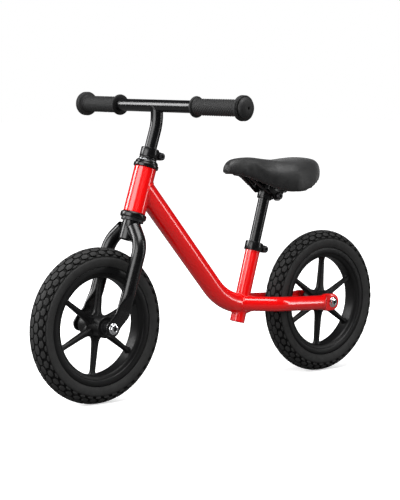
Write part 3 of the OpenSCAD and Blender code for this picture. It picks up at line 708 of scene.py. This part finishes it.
def main_path():
    """Axis of the main tube from the steering axis to its closed tail, and its radii."""
    centre = BEND_END + toward(Z_AXIS, -X_AXIS, STAY_ANGLE) * MAIN_BEND_R
    bend = arc(centre, -Z_AXIS, X_AXIS, MAIN_BEND_R, MAIN_ANGLE, STAY_ANGLE, 40)
    down = -toward(X_AXIS, Z_AXIS, MAIN_ANGLE)
    out = (STEER_BASE - bend[0]).cross(STEER).y / down.cross(STEER).y
    top = bend[0] + down * out
    straight = [top.lerp(bend[0], i / 30) for i in range(30)]
    back = -toward(X_AXIS, Z_AXIS, STAY_ANGLE)
    tail = [bend[-1] + back * (x * MM) for x in (3, 6, 9, 11, 12, 12.6, 13)]
    shrink = [1, 1, 1, 0.975, 0.93, 0.87, 0.75]
    path = straight + bend + tail
    radii = [mix(MAIN_R_TOP, MAIN_R_LOW, i / 30) for i in range(30)]
    radii += [MAIN_R_LOW] * len(bend) + [MAIN_R_LOW * k for k in shrink]
    return path, radii


def main_tube():
    path, radii = main_path()
    # the first whole ring clears the head tube; from there the end is coped to its wall
    first = next(i for i, p in enumerate(path) if (p - path[0]).length > 38 * MM)

    def cope(p, ahead):
        flat = ahead - STEER * ahead.dot(STEER)
        gap = p - STEER_BASE
        gap -= STEER * gap.dot(STEER)
        a = flat.length_squared
        b = gap.dot(flat)
        c = gap.length_squared - (HEAD_R - 1.6 * MM) ** 2
        return p + ahead * ((-b - math.sqrt(max(0, b * b - a * c))) / a)

    parts = Parts()
    sweep(parts, path[first:], lambda i: radii[first + i], 64, cope=cope)
    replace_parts(parts.piece("main_tube_bent", "red_paint", "frame"), "main_tube")


def stay_frame(sign):
    """Origin, forward, side and up of a chainstay's tilted plane."""
    ahead = toward(X_AXIS, Z_AXIS, STAY_ANGLE)
    up = toward(Z_AXIS, -X_AXIS, STAY_ANGLE)
    return REAR_AXLE - ahead * REAR_AXLE.x, ahead, Y_AXIS * sign, up


def squashed_loft(parts, stations, sides=56):
    """Rounded sections: each station is (centre, u, v, half u, half v, squareness)."""
    rows = []
    for centre, u, v, hu, hv, power in stations:
        row = []
        for j in range(sides):
            a = TAU * j / sides
            c = math.cos(a)
            s = math.sin(a)
            x = math.copysign(abs(c) ** power, c) * hu
            y = math.copysign(abs(s) ** power, s) * hv
            row.append(centre + u * x + v * y)
        rows.append(row)
    parts.grid(rows, caps=True)


def chainstay(side):
    """Stay that leaves the main tube, bends level and is pressed flat round the axle bolt."""
    origin, ahead, out, up = stay_frame(1 if side == "left" else -1)
    stay_y = 39.8 * MM
    plate_y = 37 * MM
    bend_r = 60 * MM
    corner_x = STAY_START[0] - (stay_y - STAY_START[1]) / math.tan(STAY_SPLAY)
    tan_len = bend_r * math.tan(STAY_SPLAY / 2)

    def at(x, y):
        return origin + ahead * x + out * y

    flat_from = -246 * MM
    flat_to = -266 * MM
    x_bend = corner_x - tan_len
    arcs = [STAY_SPLAY * (1 - i / 16) for i in range(17)]
    # each point is x, y, and how far the tube is pressed flat there
    points = [(mix(STAY_START[0], corner_x + tan_len * math.cos(STAY_SPLAY), i / 9),
               mix(STAY_START[1], stay_y - tan_len * math.sin(STAY_SPLAY), i / 9), 0) for i in range(9)]
    points += [(x_bend + bend_r * math.sin(a), stay_y - bend_r + bend_r * math.cos(a), 0) for a in arcs]
    points += [(mix(x_bend, flat_from, i / 21), stay_y, 0) for i in range(1, 22)]
    points += [(mix(flat_from, flat_to, i / 14), stay_y, i / 14) for i in range(1, 15)]
    end_r = 16.6 * MM
    centre_x = REAR_AXLE.x
    tip = [mix(flat_to, centre_x - end_r, i / 16) for i in range(1, 17)]
    stations = []
    for k, (x, y, press) in enumerate(points):
        nxt = points[min(k + 1, len(points) - 1)]
        prv = points[max(k - 1, 0)]
        along = (at(nxt[0], nxt[1]) - at(prv[0], prv[1])).normalized()
        u = up.cross(along).normalized()
        p = smoothstep(0, 1, press)
        half_thick = mix(STAY_R, 3.4 * MM, p)
        half_tall = mix(STAY_R, 17.2 * MM, smoothstep(0, 1, press * 1.15 if press < 0.87 else 1))
        stations.append((at(x, mix(y, plate_y, p)), u, up, half_thick, half_tall, mix(1, 0.42, p)))
    u = up.cross(-ahead)
    for x in tip:
        reach = centre_x - x
        if reach < 0:
            tall = mix(17.2 * MM, end_r, smoothstep(flat_to, centre_x, x))
            thick = 2.5 * MM
        else:
            tall = math.sqrt(max(end_r ** 2 - reach ** 2, (0.9 * MM) ** 2))
            thick = 2.5 * MM if tall > 6 * MM else 2.2 * MM
        p = smoothstep(0, 1, (flat_to - x) / (8 * MM))
        stations.append((at(x, plate_y), u, up, mix(3.4 * MM, thick, p), tall, mix(0.42, 0.3, p)))
    parts = Parts()
    squashed_loft(parts, stations)
    piece = parts.piece(f"{side}_chainstay_pressed", "red_paint", "frame", 48)
    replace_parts(piece, f"{side}_chainstay")


def fork_leg(side):
    """Leg bent out of the crown, straight down beside the wheel and pressed flat at the axle."""
    out = Y_AXIS if side == "left" else -Y_AXIS
    plate_y = 48 * MM

    def at(f, y, s):
        return STEER_BASE + FORE * f + out * y + STEER * s

    axle = box_middle("front_tyre") - STEER_BASE
    axle_f = axle.dot(FORE)
    axle_s = axle.dot(STEER)
    flat_from = 60 * MM
    flat_to = 25 * MM
    # each row is y, s along the steering axis, the tube's slope, and how far it is pressed flat
    rows = []
    for i in range(8):
        reach = 22 * MM * (1 - i / 8)
        rows.append((LEG_TOP_Y - reach * math.sin(LEG_FLARE), LEG_TOP_S + reach * math.cos(LEG_FLARE),
                     LEG_FLARE, 0))
    for i in range(21):
        a = LEG_FLARE * (1 - i / 20)
        rows.append((LEG_Y - LEG_BEND_R * (1 - math.cos(a)), LEG_BEND_S + LEG_BEND_R * math.sin(a), a, 0))
    rows += [(LEG_Y, mix(LEG_BEND_S, flat_from, i / 19), 0, 0) for i in range(1, 20)]
    rows += [(LEG_Y, mix(flat_from, flat_to, i / 18), 0, i / 18) for i in range(1, 19)]
    stations = []
    wide = 15.2 * MM
    for y, s, a, press in rows:
        u = toward(out, STEER, a)
        p = smoothstep(0, 1, press)
        early = smoothstep(0, 1, min(1, press * 1.1))
        stations.append((at(LEG_FORE + p * 3 * MM, mix(y, plate_y, p), s), u, FORE,
                         mix(LEG_R, 2.9 * MM, early), mix(LEG_R, wide, p), mix(1, 0.4, p)))
    end_r = 15 * MM
    for i in range(1, 25):
        s = mix(flat_to, axle_s - end_r, i / 24)
        t = smoothstep(flat_to, axle_s, s) if s > axle_s else 1
        half = mix(wide, end_r, t)
        if s <= axle_s:
            half = math.sqrt(max(end_r ** 2 - (axle_s - s) ** 2, (0.9 * MM) ** 2))
        line = (flat_to - s) / (flat_to - axle_s)
        f = mix(LEG_FORE + 3 * MM, axle_f, min(1, max(0, mix(line, smoothstep(0, 1, line), 0.6))))
        stations.append((at(f, plate_y, s), out, FORE, mix(2.9, 2.5, t) * MM, half, mix(0.4, 0.3, t)))
    parts = Parts()
    squashed_loft(parts, stations)
    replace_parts(parts.piece(f"{side}_fork_leg_pressed", "black_paint", "fork", 48), f"{side}_fork_leg")


def stem():
    """Stem tube from inside the steerer, bent upright and mitred into the crossbar."""
    bar = box_middle("crossbar")
    bar.x = BAR_X
    bend_r = 90 * MM
    h = math.atan2(-STEER.x, STEER.z)
    s1 = (STEER_BASE.x - bar.x - bend_r * (1 - math.cos(h))) / math.sin(h)
    low = STEER_BASE + STEER * (190 * MM)
    foot = STEER_BASE + STEER * s1
    centre = Vector((bar.x + bend_r, 0, foot.z + bend_r * math.sin(h)))
    curve = arc(centre, -X_AXIS, -Z_AXIS, bend_r, h, 0, 24)
    path = [low.lerp(foot, i / 12) for i in range(12)] + curve
    path += [curve[-1].lerp(Vector((bar.x, 0, bar.z)), i / 5) for i in range(1, 6)]
    parts = Parts()
    sweep(parts, path, BAR_R, 56)
    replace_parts(parts.piece("stem_bent", "black_paint", "handlebar"), "stem_tube")


def crossbar():
    z = box_middle("crossbar").z
    right = [Vector((BAR_X, y * BAR_STRAIGHT / 6, z)) for y in range(0, 7)]
    centre = Vector((BAR_X - BAR_BEND_R, BAR_STRAIGHT, z))
    right += arc(centre, X_AXIS, Y_AXIS, BAR_BEND_R, 0, SWEEP, 8)[1:]
    ahead = Vector((-math.sin(SWEEP), math.cos(SWEEP), 0))
    right += [right[-1] + ahead * (k * 18 * MM) for k in range(1, 8)]
    flip = [Vector((p.x, -p.y, p.z)) for p in reversed(right[1:])]
    parts = Parts()
    sweep(parts, flip + right, BAR_R, 56)
    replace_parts(parts.piece("crossbar_tube", "black_paint", "handlebar"), "crossbar")


def turned_parts():
    turned("head_tube_turned", "head_tube", STEER_BASE, STEER,
           tube_profile(20.4, 3, HEAD_S, HEAD_TOP, 0.8), "red_paint", "frame")
    turned("seat_tube_turned", "seat_tube", SEAT_BASE, SEAT,
           tube_profile(14.3, 1.8, -25, 132.5, 0.6), "red_paint", "frame")
    turned("seatpost_turned", "seatpost", SEAT_BASE, SEAT,
           tube_profile(11.1, 2, 45, 236, 0.5), "black_paint", "seatpost")
    turned("crown_turned", "crown_tube", STEER_BASE, STEER,
           tube_profile(CROWN_R, 2.3, CROWN_LOW, 194, 0.7), "black_paint", "fork")
    # distances from the lower cup's underside
    cup = [(15.4, 7.6), (19, 7.6), (20.5, 3), (21.8, 0.8), (22.6, 0.15), (23.5, 0.6), (24, 2), (24.2, 4),
           (24.2, 6.6), (23.9, 8.4), (23.2, 9.6), (22, 10.3), (20.7, 10.6), (20.5, 10.98), (17.2, 11.2),
           (17.1, 20.5), (15.4, 20.5)]
    # and from the head tube's top
    dome = [(15.4, -9.5), (17.1, -9.5), (17.2, -0.1), (21.4, 0.1), (22.6, 0.4), (23.05, 1.2), (23.1, 3),
            (23.1, 5.6), (22.8, 6.6), (22.0, 7.1), (21.4, 7.6), (21.2, 8.4), (21, 10), (20.4, 11.6),
            (19.4, 12.9), (18.6, 13.5), (18.1, 13.3), (17.95, 12), (17.9, 8.8), (15.4, 8.8)]
    nut = [(14.4, 14.7), (15.9, 14.7), (16.4, 15.2), (16.4, 18.4), (16.0, 19), (15.2, 19.3), (14.4, 19.3)]
    for name, node, base, profile, body in (
            ("lower_cup_turned", "lower_headset_cup", HEAD_S - 11, cup, "frame"),
            ("upper_cup_turned", "upper_headset_cup", HEAD_TOP, dome, "frame"),
            ("locknut_turned", "headset_locknut", HEAD_TOP, nut, "fork")):
        turned(name, node, STEER_BASE, STEER, [(r, base + z) for r, z in profile], "black_paint", body)


# ---------- weld beads ----------

def bead_ring(name, curve, slot, body, size=1.7):
    """A weld bead along a closed curve: stacked ripples of slightly uneven width."""
    n = len(curve)
    sides = 10
    length = sum((curve[(i + 1) % n] - curve[i]).length for i in range(n))
    ripples = max(8, int(length / (2.6 * MM)))
    rows = []
    for i in range(n):
        ahead = (curve[(i + 1) % n] - curve[i - 1]).normalized()
        side = ahead.orthogonal().normalized() if i == 0 else (side - ahead * side.dot(ahead)).normalized()
        up = ahead.cross(side)
        wave = abs(math.sin(math.pi * ripples * i / n))
        r = size * MM * (0.82 + 0.24 * wave + 0.05 * math.sin(5 * TAU * i / n + 1))
        rows.append([curve[i] + toward(side, up, TAU * j / sides) * r for j in range(sides)])
    # meet the first row at the same turn of the section
    last = rows[-1]
    best = min(range(sides),
               key=lambda k: sum((last[(j + k) % sides] - rows[0][j]).length for j in range(sides)))
    end = (n - 1) * sides
    faces = quads(n, sides)
    faces += [(end + (j + best) % sides, end + (j + 1 + best) % sides, (j + 1) % sides, j)
              for j in range(sides)]
    parts = Parts()
    parts.add([p for row in rows for p in row], faces)
    parts.piece(name, slot, body, 80)


def meet(start, ahead, radius, inside, reach, side=Y_AXIS):
    """Closed curve where a round tube from start, going ahead, enters the solid inside()."""
    steps = 160
    count = 60
    side = (side - ahead * side.dot(ahead)).normalized()
    up = ahead.cross(side)
    curve = []
    for j in range(steps):
        base = start + toward(side, up, TAU * j / steps) * radius
        hit = next((i for i in range(count + 1) if inside(base + ahead * (reach * i / count))), count)
        near = reach * max(0, hit - 1) / count
        far = reach * hit / count
        for _ in range(18):
            half = (near + far) / 2
            if inside(base + ahead * half):
                far = half
            else:
                near = half
        curve.append(base + ahead * far)
    return curve


def in_tube(path, radius):
    """A test for points inside a round tube along a path of points."""
    def test(p):
        for a, b in zip(path, path[1:]):
            d = b - a
            t = min(1, max(0, (p - a).dot(d) / d.length_squared))
            if (p - a - d * t).length < radius:
                return True
        return False
    return test


def welds():
    path, _ = main_path()
    head = in_tube([STEER_BASE + STEER * (HEAD_S * MM), STEER_BASE + STEER * (HEAD_TOP * MM)], HEAD_R)
    start = path[28]
    ahead = (path[0] - start).normalized()
    curve = meet(start, ahead, MAIN_R_TOP, head, (path[0] - start).length)
    bead_ring("weld_head_tube", curve, "red_paint", "frame")

    main = in_tube(path[30:], MAIN_R_LOW)
    top = SEAT_BASE + SEAT * (70 * MM)
    bead_ring("weld_seat_tube_top", meet(top, -SEAT, SEAT_R, main, 70 * MM), "red_paint", "frame")
    foot = SEAT_BASE + SEAT * (-24 * MM)
    bead_ring("weld_seat_tube_foot", meet(foot, SEAT, SEAT_R, main, 34 * MM), "red_paint", "frame")

    for name, sign in (("left", 1), ("right", -1)):
        origin, fore, out, _ = stay_frame(sign)
        start = origin + fore * STAY_START[0] + out * STAY_START[1]
        back = toward(-fore, out, STAY_SPLAY).normalized()
        far = start + back * (70 * MM)
        bead_ring(f"weld_{name}_chainstay", meet(far, -back, STAY_R, main, 70 * MM), "red_paint", "frame")

    crown = in_tube([STEER_BASE + STEER * ((CROWN_LOW - 30) * MM), STEER_BASE + STEER * (230 * MM)],
                    CROWN_R * MM)
    for name, sign in (("left", 1), ("right", -1)):
        start = STEER_BASE + FORE * LEG_FORE + Y_AXIS * (sign * LEG_TOP_Y) + STEER * LEG_TOP_S
        inward = toward(STEER, Y_AXIS * -sign, LEG_FLARE).normalized()
        curve = meet(start, inward, LEG_R, crown, 40 * MM, side=FORE)
        bead_ring(f"weld_{name}_fork_leg", curve, "black_paint", "fork", 1.5)

    bar = box_middle("crossbar")
    bar.x = BAR_X
    tube = in_tube([bar - Y_AXIS * 0.05, bar + Y_AXIS * 0.05], BAR_R)
    start = bar - Z_AXIS * (24 * MM)
    bead_ring("weld_stem", meet(start, Z_AXIS, BAR_R, tube, 24 * MM), "black_paint", "handlebar", 1.3)


# ---------- saddle ----------

# lower edge of the cover on the left side, and the top line, in mm
SKIRT = [(-22, 0, 408), (-22.6, 6, 407.6), (-28, 13.5, 405.5), (-44, 18, 402.8), (-67, 21, 398.8),
         (-94, 29, 388), (-122, 42, 375.5), (-145, 54, 369), (-165, 61.5, 368), (-187, 61.5, 369.8),
         (-209, 55, 374), (-229, 46, 380.5), (-248, 34, 387), (-264, 20, 392.5), (-272, 8, 395.5),
         (-274, 0, 396.5)]
TOP = [(-47, 435.2), (-62.5, 435.9), (-94.6, 433.6), (-126.4, 429.6), (-157.5, 427.4), (-183, 428.9),
       (-212, 431.2), (-230, 431.2), (-243, 429.6)]


def spline(points, t):
    """A smooth curve through points, t from 0 to 1 evenly over them."""
    n = len(points) - 1
    k = min(n - 1, int(t * n))
    u = t * n - k
    p = [points[max(0, min(n, k + d))] for d in (-1, 0, 1, 2)]
    return [0.5 * (2 * b + (c - a) * u + (2 * a - 5 * b + 4 * c - d) * u * u
                   + (3 * b - a - 3 * c + d) * u ** 3) for a, b, c, d in zip(*p)]


def saddle_rows(inset, drop, low, arch_steps=16, around=72):
    """Rows from the lower edge up to the ridge, each a closed loop of points in mm."""
    half = [spline(SKIRT, i / around) for i in range(around + 1)]
    loop = half + [[x, -y, z] for x, y, z in half[-2:0:-1]]
    nose = loop[0][0]
    tail_x = loop[around][0]
    rows = []
    for k in range(arch_steps + 1):
        a = math.pi / 2 * k / arch_steps
        row = []
        for x, y, z in loop:
            t = (x - nose) / (tail_x - nose)
            ridge = spline(TOP, t)
            away = Vector((x - ridge[0], y))
            reach = max(0.1, away.length - inset) / away.length
            out = math.cos(a) ** mix(0.95, 0.62, smoothstep(0, 0.25, t))
            up = math.sin(a) ** 0.8
            base = z - low
            # the sides lean in a little above the lower edge, then round over to the top
            row.append(Vector((ridge[0] + away.x * reach * out, away.y * reach * out,
                               mix(base, ridge[1] - drop, up))) * MM)
        rows.append(row)
    return rows


def saddle_shell(parts, inset, drop, low, thick, rim_r):
    """A closed moulded shell: outside, rolled lower edge, and inside."""
    outer = saddle_rows(inset, drop, low)
    inner = saddle_rows(inset + thick, drop + thick * 1.3, low)
    middle = [(o + i) / 2 for o, i in zip(outer[0], inner[0])]
    rim = []
    for k in range(1, 6):
        a = math.pi * k / 6
        sunk = Z_AXIS * (rim_r * MM * math.sin(a))
        rim.append([m + (o - m) * math.cos(a) - sunk for o, m in zip(outer[0], middle)])
    parts.grid(outer[::-1] + rim + inner)


def bake(obj):
    """Makes the modifiers' result the object's own mesh."""
    view = bpy.context.evaluated_depsgraph_get()
    mesh = bpy.data.meshes.new_from_object(obj.evaluated_get(view))
    obj.modifiers.clear()
    obj.data = mesh


def puff(obj, pressure, cap):
    """Blow the closed shape up a little as stuffed cloth, and keep every point within cap mm."""
    remesh = obj.modifiers.new("even", "REMESH")
    remesh.mode = "VOXEL"
    remesh.voxel_size = 4.5 * MM
    bake(obj)
    before = [v.co.copy() for v in obj.data.vertices]
    cloth = obj.modifiers.new("cloth", "CLOTH")
    cloth.settings.use_pressure = True
    cloth.settings.uniform_pressure_force = pressure
    cloth.settings.effector_weights.gravity = 0
    cloth.settings.quality = 5
    for f in range(1, 21):
        scene.frame_set(f)
    bake(obj)
    for v, was in zip(obj.data.vertices, before):
        move = v.co - was
        if move.length > cap * MM:
            v.co = was + move * (cap * MM / move.length)
    scene.frame_set(1)
    bm = bmesh.new()
    bm.from_mesh(obj.data)
    for _ in range(2):
        bmesh.ops.smooth_vert(bm, verts=bm.verts, factor=0.5,
                              use_axis_x=True, use_axis_y=True, use_axis_z=True)
    bmesh.ops.subdivide_edges(bm, edges=bm.edges, cuts=1, use_grid_fill=True, smooth=0.6)
    for face in bm.faces:
        face.smooth = True
    bm.to_mesh(obj.data)
    bm.free()


def saddle():
    parts = Parts()
    saddle_shell(parts, 1.2, 0.9, -1, 9, 2)
    mesh = parts.mesh("cover")
    bm = bmesh.new()
    bm.from_mesh(mesh)
    bmesh.ops.remove_doubles(bm, verts=bm.verts, dist=0.05 * MM)
    bmesh.ops.recalc_face_normals(bm, faces=bm.faces)
    bm.to_mesh(mesh)
    bm.free()
    cover = show("saddle_cover", mesh)
    puff(cover, 4, 2.2)
    cover.data.materials.append(MATERIALS["saddle_cover"])
    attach(cover, "saddle")
    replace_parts(cover, "saddle_cushion")

    pan = Parts()
    saddle_shell(pan, 12.4, 16.5, -4.5, 3, 1)
    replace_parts(pan.piece("saddle_pan", "black_plastic", "saddle", 60), "saddle_base")


# ---------- collars, bolts and nuts ----------

def turn(parts, origin, axis, profile, steps=48):
    """A solid of revolution: profile of (radius, distance) in mm, its ends on the axis closed by caps."""
    side = (X_AXIS - axis * axis.dot(X_AXIS)).normalized()
    up = axis.cross(side)
    rays = [toward(side, up, TAU * i / steps) for i in range(steps)]
    rows = [[origin + out * (r * MM) + axis * (z * MM) for out in rays] for r, z in profile]
    parts.grid(rows, caps=True)


def slab(parts, outline, axis, low, high, roll=0.6):
    """A plate: an outline of points, thick from low to high mm along axis, its edges rolled."""
    middle = sum(outline, Vector()) / len(outline)

    def loop(z, shrink):
        out = []
        for p in outline:
            away = p - middle
            out.append(middle + away * (1 - shrink * MM / away.length) + axis * (z * MM))
        return out

    rows = [loop(low, roll), loop(low + 0.3 * roll, 0.3 * roll), loop(low + roll, 0), loop(high - roll, 0),
            loop(high - 0.3 * roll, 0.3 * roll), loop(high, roll)]
    parts.grid(rows, caps=True)


def split_ring(parts, origin, axis, back, ro, ri, h, slot_w, lid=0):
    """A ring with a slot at its back. lid closes the top with a disc that thick."""
    side = axis.cross(back)
    half = math.asin(slot_w / 2 / ro)
    w = 0.7
    profile = [(ri, w), (ri + w, 0), (ro - w, 0), (ro - 0.3 * w, 0.3 * w), (ro, w), (ro, h - w),
               (ro - 0.3 * w, h - 0.3 * w), (ro - w, h), (ri + w, h), (ri, h - w)]
    rows = []
    steps = 96
    for i in range(steps + 1):
        out = toward(back, side, half + (TAU - 2 * half) * i / steps)
        rows.append([origin + out * (r * MM) + axis * (z * MM) for r, z in profile])
    parts.grid(rows, caps=True)
    if lid:
        disc = [(0.1, h - lid), (ri + 0.5, h - lid), (ri + 0.5, h - 0.05), (0.1, h - 0.05)]
        turn(parts, origin, axis, disc, 64)


def clamp(name, node, body, origin, axis, ro, ri, h, b, slot_w=2.4, ear_t=5, lid=0, ear_r=None):
    """Split collar with two ears behind it, b mm from the tube's axis."""
    back = axis.cross(Y_AXIS).normalized()
    parts = Parts()
    split_ring(parts, origin, axis, back, ro, ri, h, slot_w, lid)
    r = ear_r or h / 2 - 1
    centre = origin + back * (b * MM) + axis * (h / 2 * MM)
    root = origin + axis * (h / 2 * MM) + back * ((ri + 1) * MM)
    outline = [root - axis * (r * MM)]
    outline += [centre + toward(-axis, back, math.pi * i / 18) * (r * MM) for i in range(19)]
    outline += [root + axis * (r * MM)]
    for sign in (-1, 1):
        slab(parts, outline, Y_AXIS, *sorted((sign * slot_w / 2, sign * (slot_w / 2 + ear_t))))
    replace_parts(parts.piece(name, "black_paint", body, 40), node)
    return centre


def socket_bolt(name, node, body, centre, y, r, h, shank):
    """Domed socket-head bolt along Y, its head's inner face y mm to the left of centre."""
    parts = Parts()
    profile = [(0.05, h - 3.4), (2.3, h - 3.4), (2.9, h - 3), (2.9, h - 0.3), (3.3, h), (r - 2.2, h),
               (r - 0.9, h - 0.35), (r - 0.2, h - 1.2), (r, h - 2.2), (r, 0.5), (r - 0.5, 0), (3, 0),
               (3, -shank), (0.05, -shank)]
    turn(parts, centre + Y_AXIS * (y * MM), Y_AXIS, profile)
    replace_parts(parts.piece(name, "black_steel", body), node)


def hex_nut(name, node, body, centre, y, r=6.2, h=5):
    """Nut whose inner face is y mm to the right of centre, with a chamfered outer face."""
    parts = Parts()
    at = centre - Y_AXIS * (y * MM)
    turn(parts, at, -Y_AXIS, [(r - 0.5, 0), (r, 0.4), (r, h - 0.9), (r - 0.8, h)], 6)
    # the bolt's end in it
    tip = [(3.9, h - 0.2), (3.9, h + 0.15), (3, h + 0.3), (3, h + 1.2), (2.4, h + 1.7)]
    turn(parts, at, -Y_AXIS, tip, 32)
    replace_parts(parts.piece(name, "black_steel", body), node)


def axle_bolts(end, plate_y, body):
    """Flanged axle bolts: bright rolled flange and domed head, with a black hex lining in each socket as painted
    shade.
    """
    centre = box_middle(f"{end}_tyre")
    bright = Parts()
    dark = Parts()
    for sign in (-1, 1):
        axis = Y_AXIS * sign
        at = centre + axis * ((plate_y + 2.5) * MM)
        turn(bright, at, axis, [(4.2, 2.4), (4.2, 5.1), (4.5, 5.4), (6.3, 5.35), (7.3, 4.9), (7.9, 4),
                                (8, 2.6), (8.2, 2), (9.3, 1.75), (10.1, 1.2), (10.3, 0.7), (10.1, 0.1),
                                (3, 0), (3, -15), (1, -15)], 64)
        # a black hex lining inside the socket: painted shade in the recess
        turn(dark, at, axis, [(4.15, 2.2), (4.15, 4.7), (3.5, 4.7), (3.3, 2.8), (1, 2.7)], 6)
    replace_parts(bright.piece(f"{end}_axle_bolts_bright", "chrome", body), f"{end}_axle_bolts")
    dark.piece(f"{end}_axle_bolt_socket_shade", "black_steel", body)


def fasteners():
    for name, body, base, axis, s, ro, ri, b in (
            ("stem_collar", "fork", STEER_BASE, STEER, HEAD_TOP + 20, 16.7, 14.4, 22.8),
            ("seat_collar", "frame", SEAT_BASE, SEAT, 116.4, 17.3, 14.35, 23)):
        bolt = clamp(f"{name}_ring", name, body, base + axis * (s * MM), axis, ro, ri, 17, b)
        socket_bolt(f"{name}_bolt_head", f"{name}_bolt", body, bolt, 6.25, 7, 6, 20)
        hex_nut(f"{name}_nut_cut", f"{name}_nut", body, bolt, 6.25)
    low = SEAT_BASE + SEAT * (219.7 * MM)
    clamp("saddle_clamp_band", "saddle_clamp", "seatpost", low, SEAT, 14.4, 11.15, 18.3, 15.5,
          ear_t=4, lid=2, ear_r=6.5)
    socket_bolt("saddle_clamp_bolt_head", "saddle_clamp_bolt", "seatpost", TILT, 22.1, 7, 6, 50)
    hex_nut("saddle_clamp_nut_cut", "saddle_clamp_nut", "seatpost", TILT, 22.1)
    axle_bolts("front", 48, "fork")
    axle_bolts("rear", 37, "frame")

    # serrated discs and the rail jaws above them
    cups = Parts()
    for sign in (-1, 1):
        axis = Y_AXIS * sign
        turn(cups, TILT, axis, [(3.1, 15), (9.4, 15), (10, 15.6), (10, 21.2), (9.4, 21.9), (3.1, 21.9)], 64)
        outline = [TILT + Vector((x * MM, 0, z * MM)) for x, z in (
            (-12, 3), (-12.5, 10), (-10, 20), (-4, 26), (8, 29), (20, 28.5), (26, 24), (27, 14), (22, 7),
            (9, 3), (0, 1))]
        slab(cups, outline, Y_AXIS, *sorted((sign * 15.2, sign * 23.4)), roll=1.2)
    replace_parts(cups.piece("rail_jaws", "black_paint", "saddle"), "rail_cups")


# ---------- build ----------

make_lights()
make_world()
make_floor()
paint_cad()
for end in ("front", "rear"):
    tyre(end)
    rim(end)
for side in ("left", "right"):
    grip(side)
    chainstay(side)
    fork_leg(side)
main_tube()
stem()
crossbar()
turned_parts()
welds()
saddle()
fasteners()
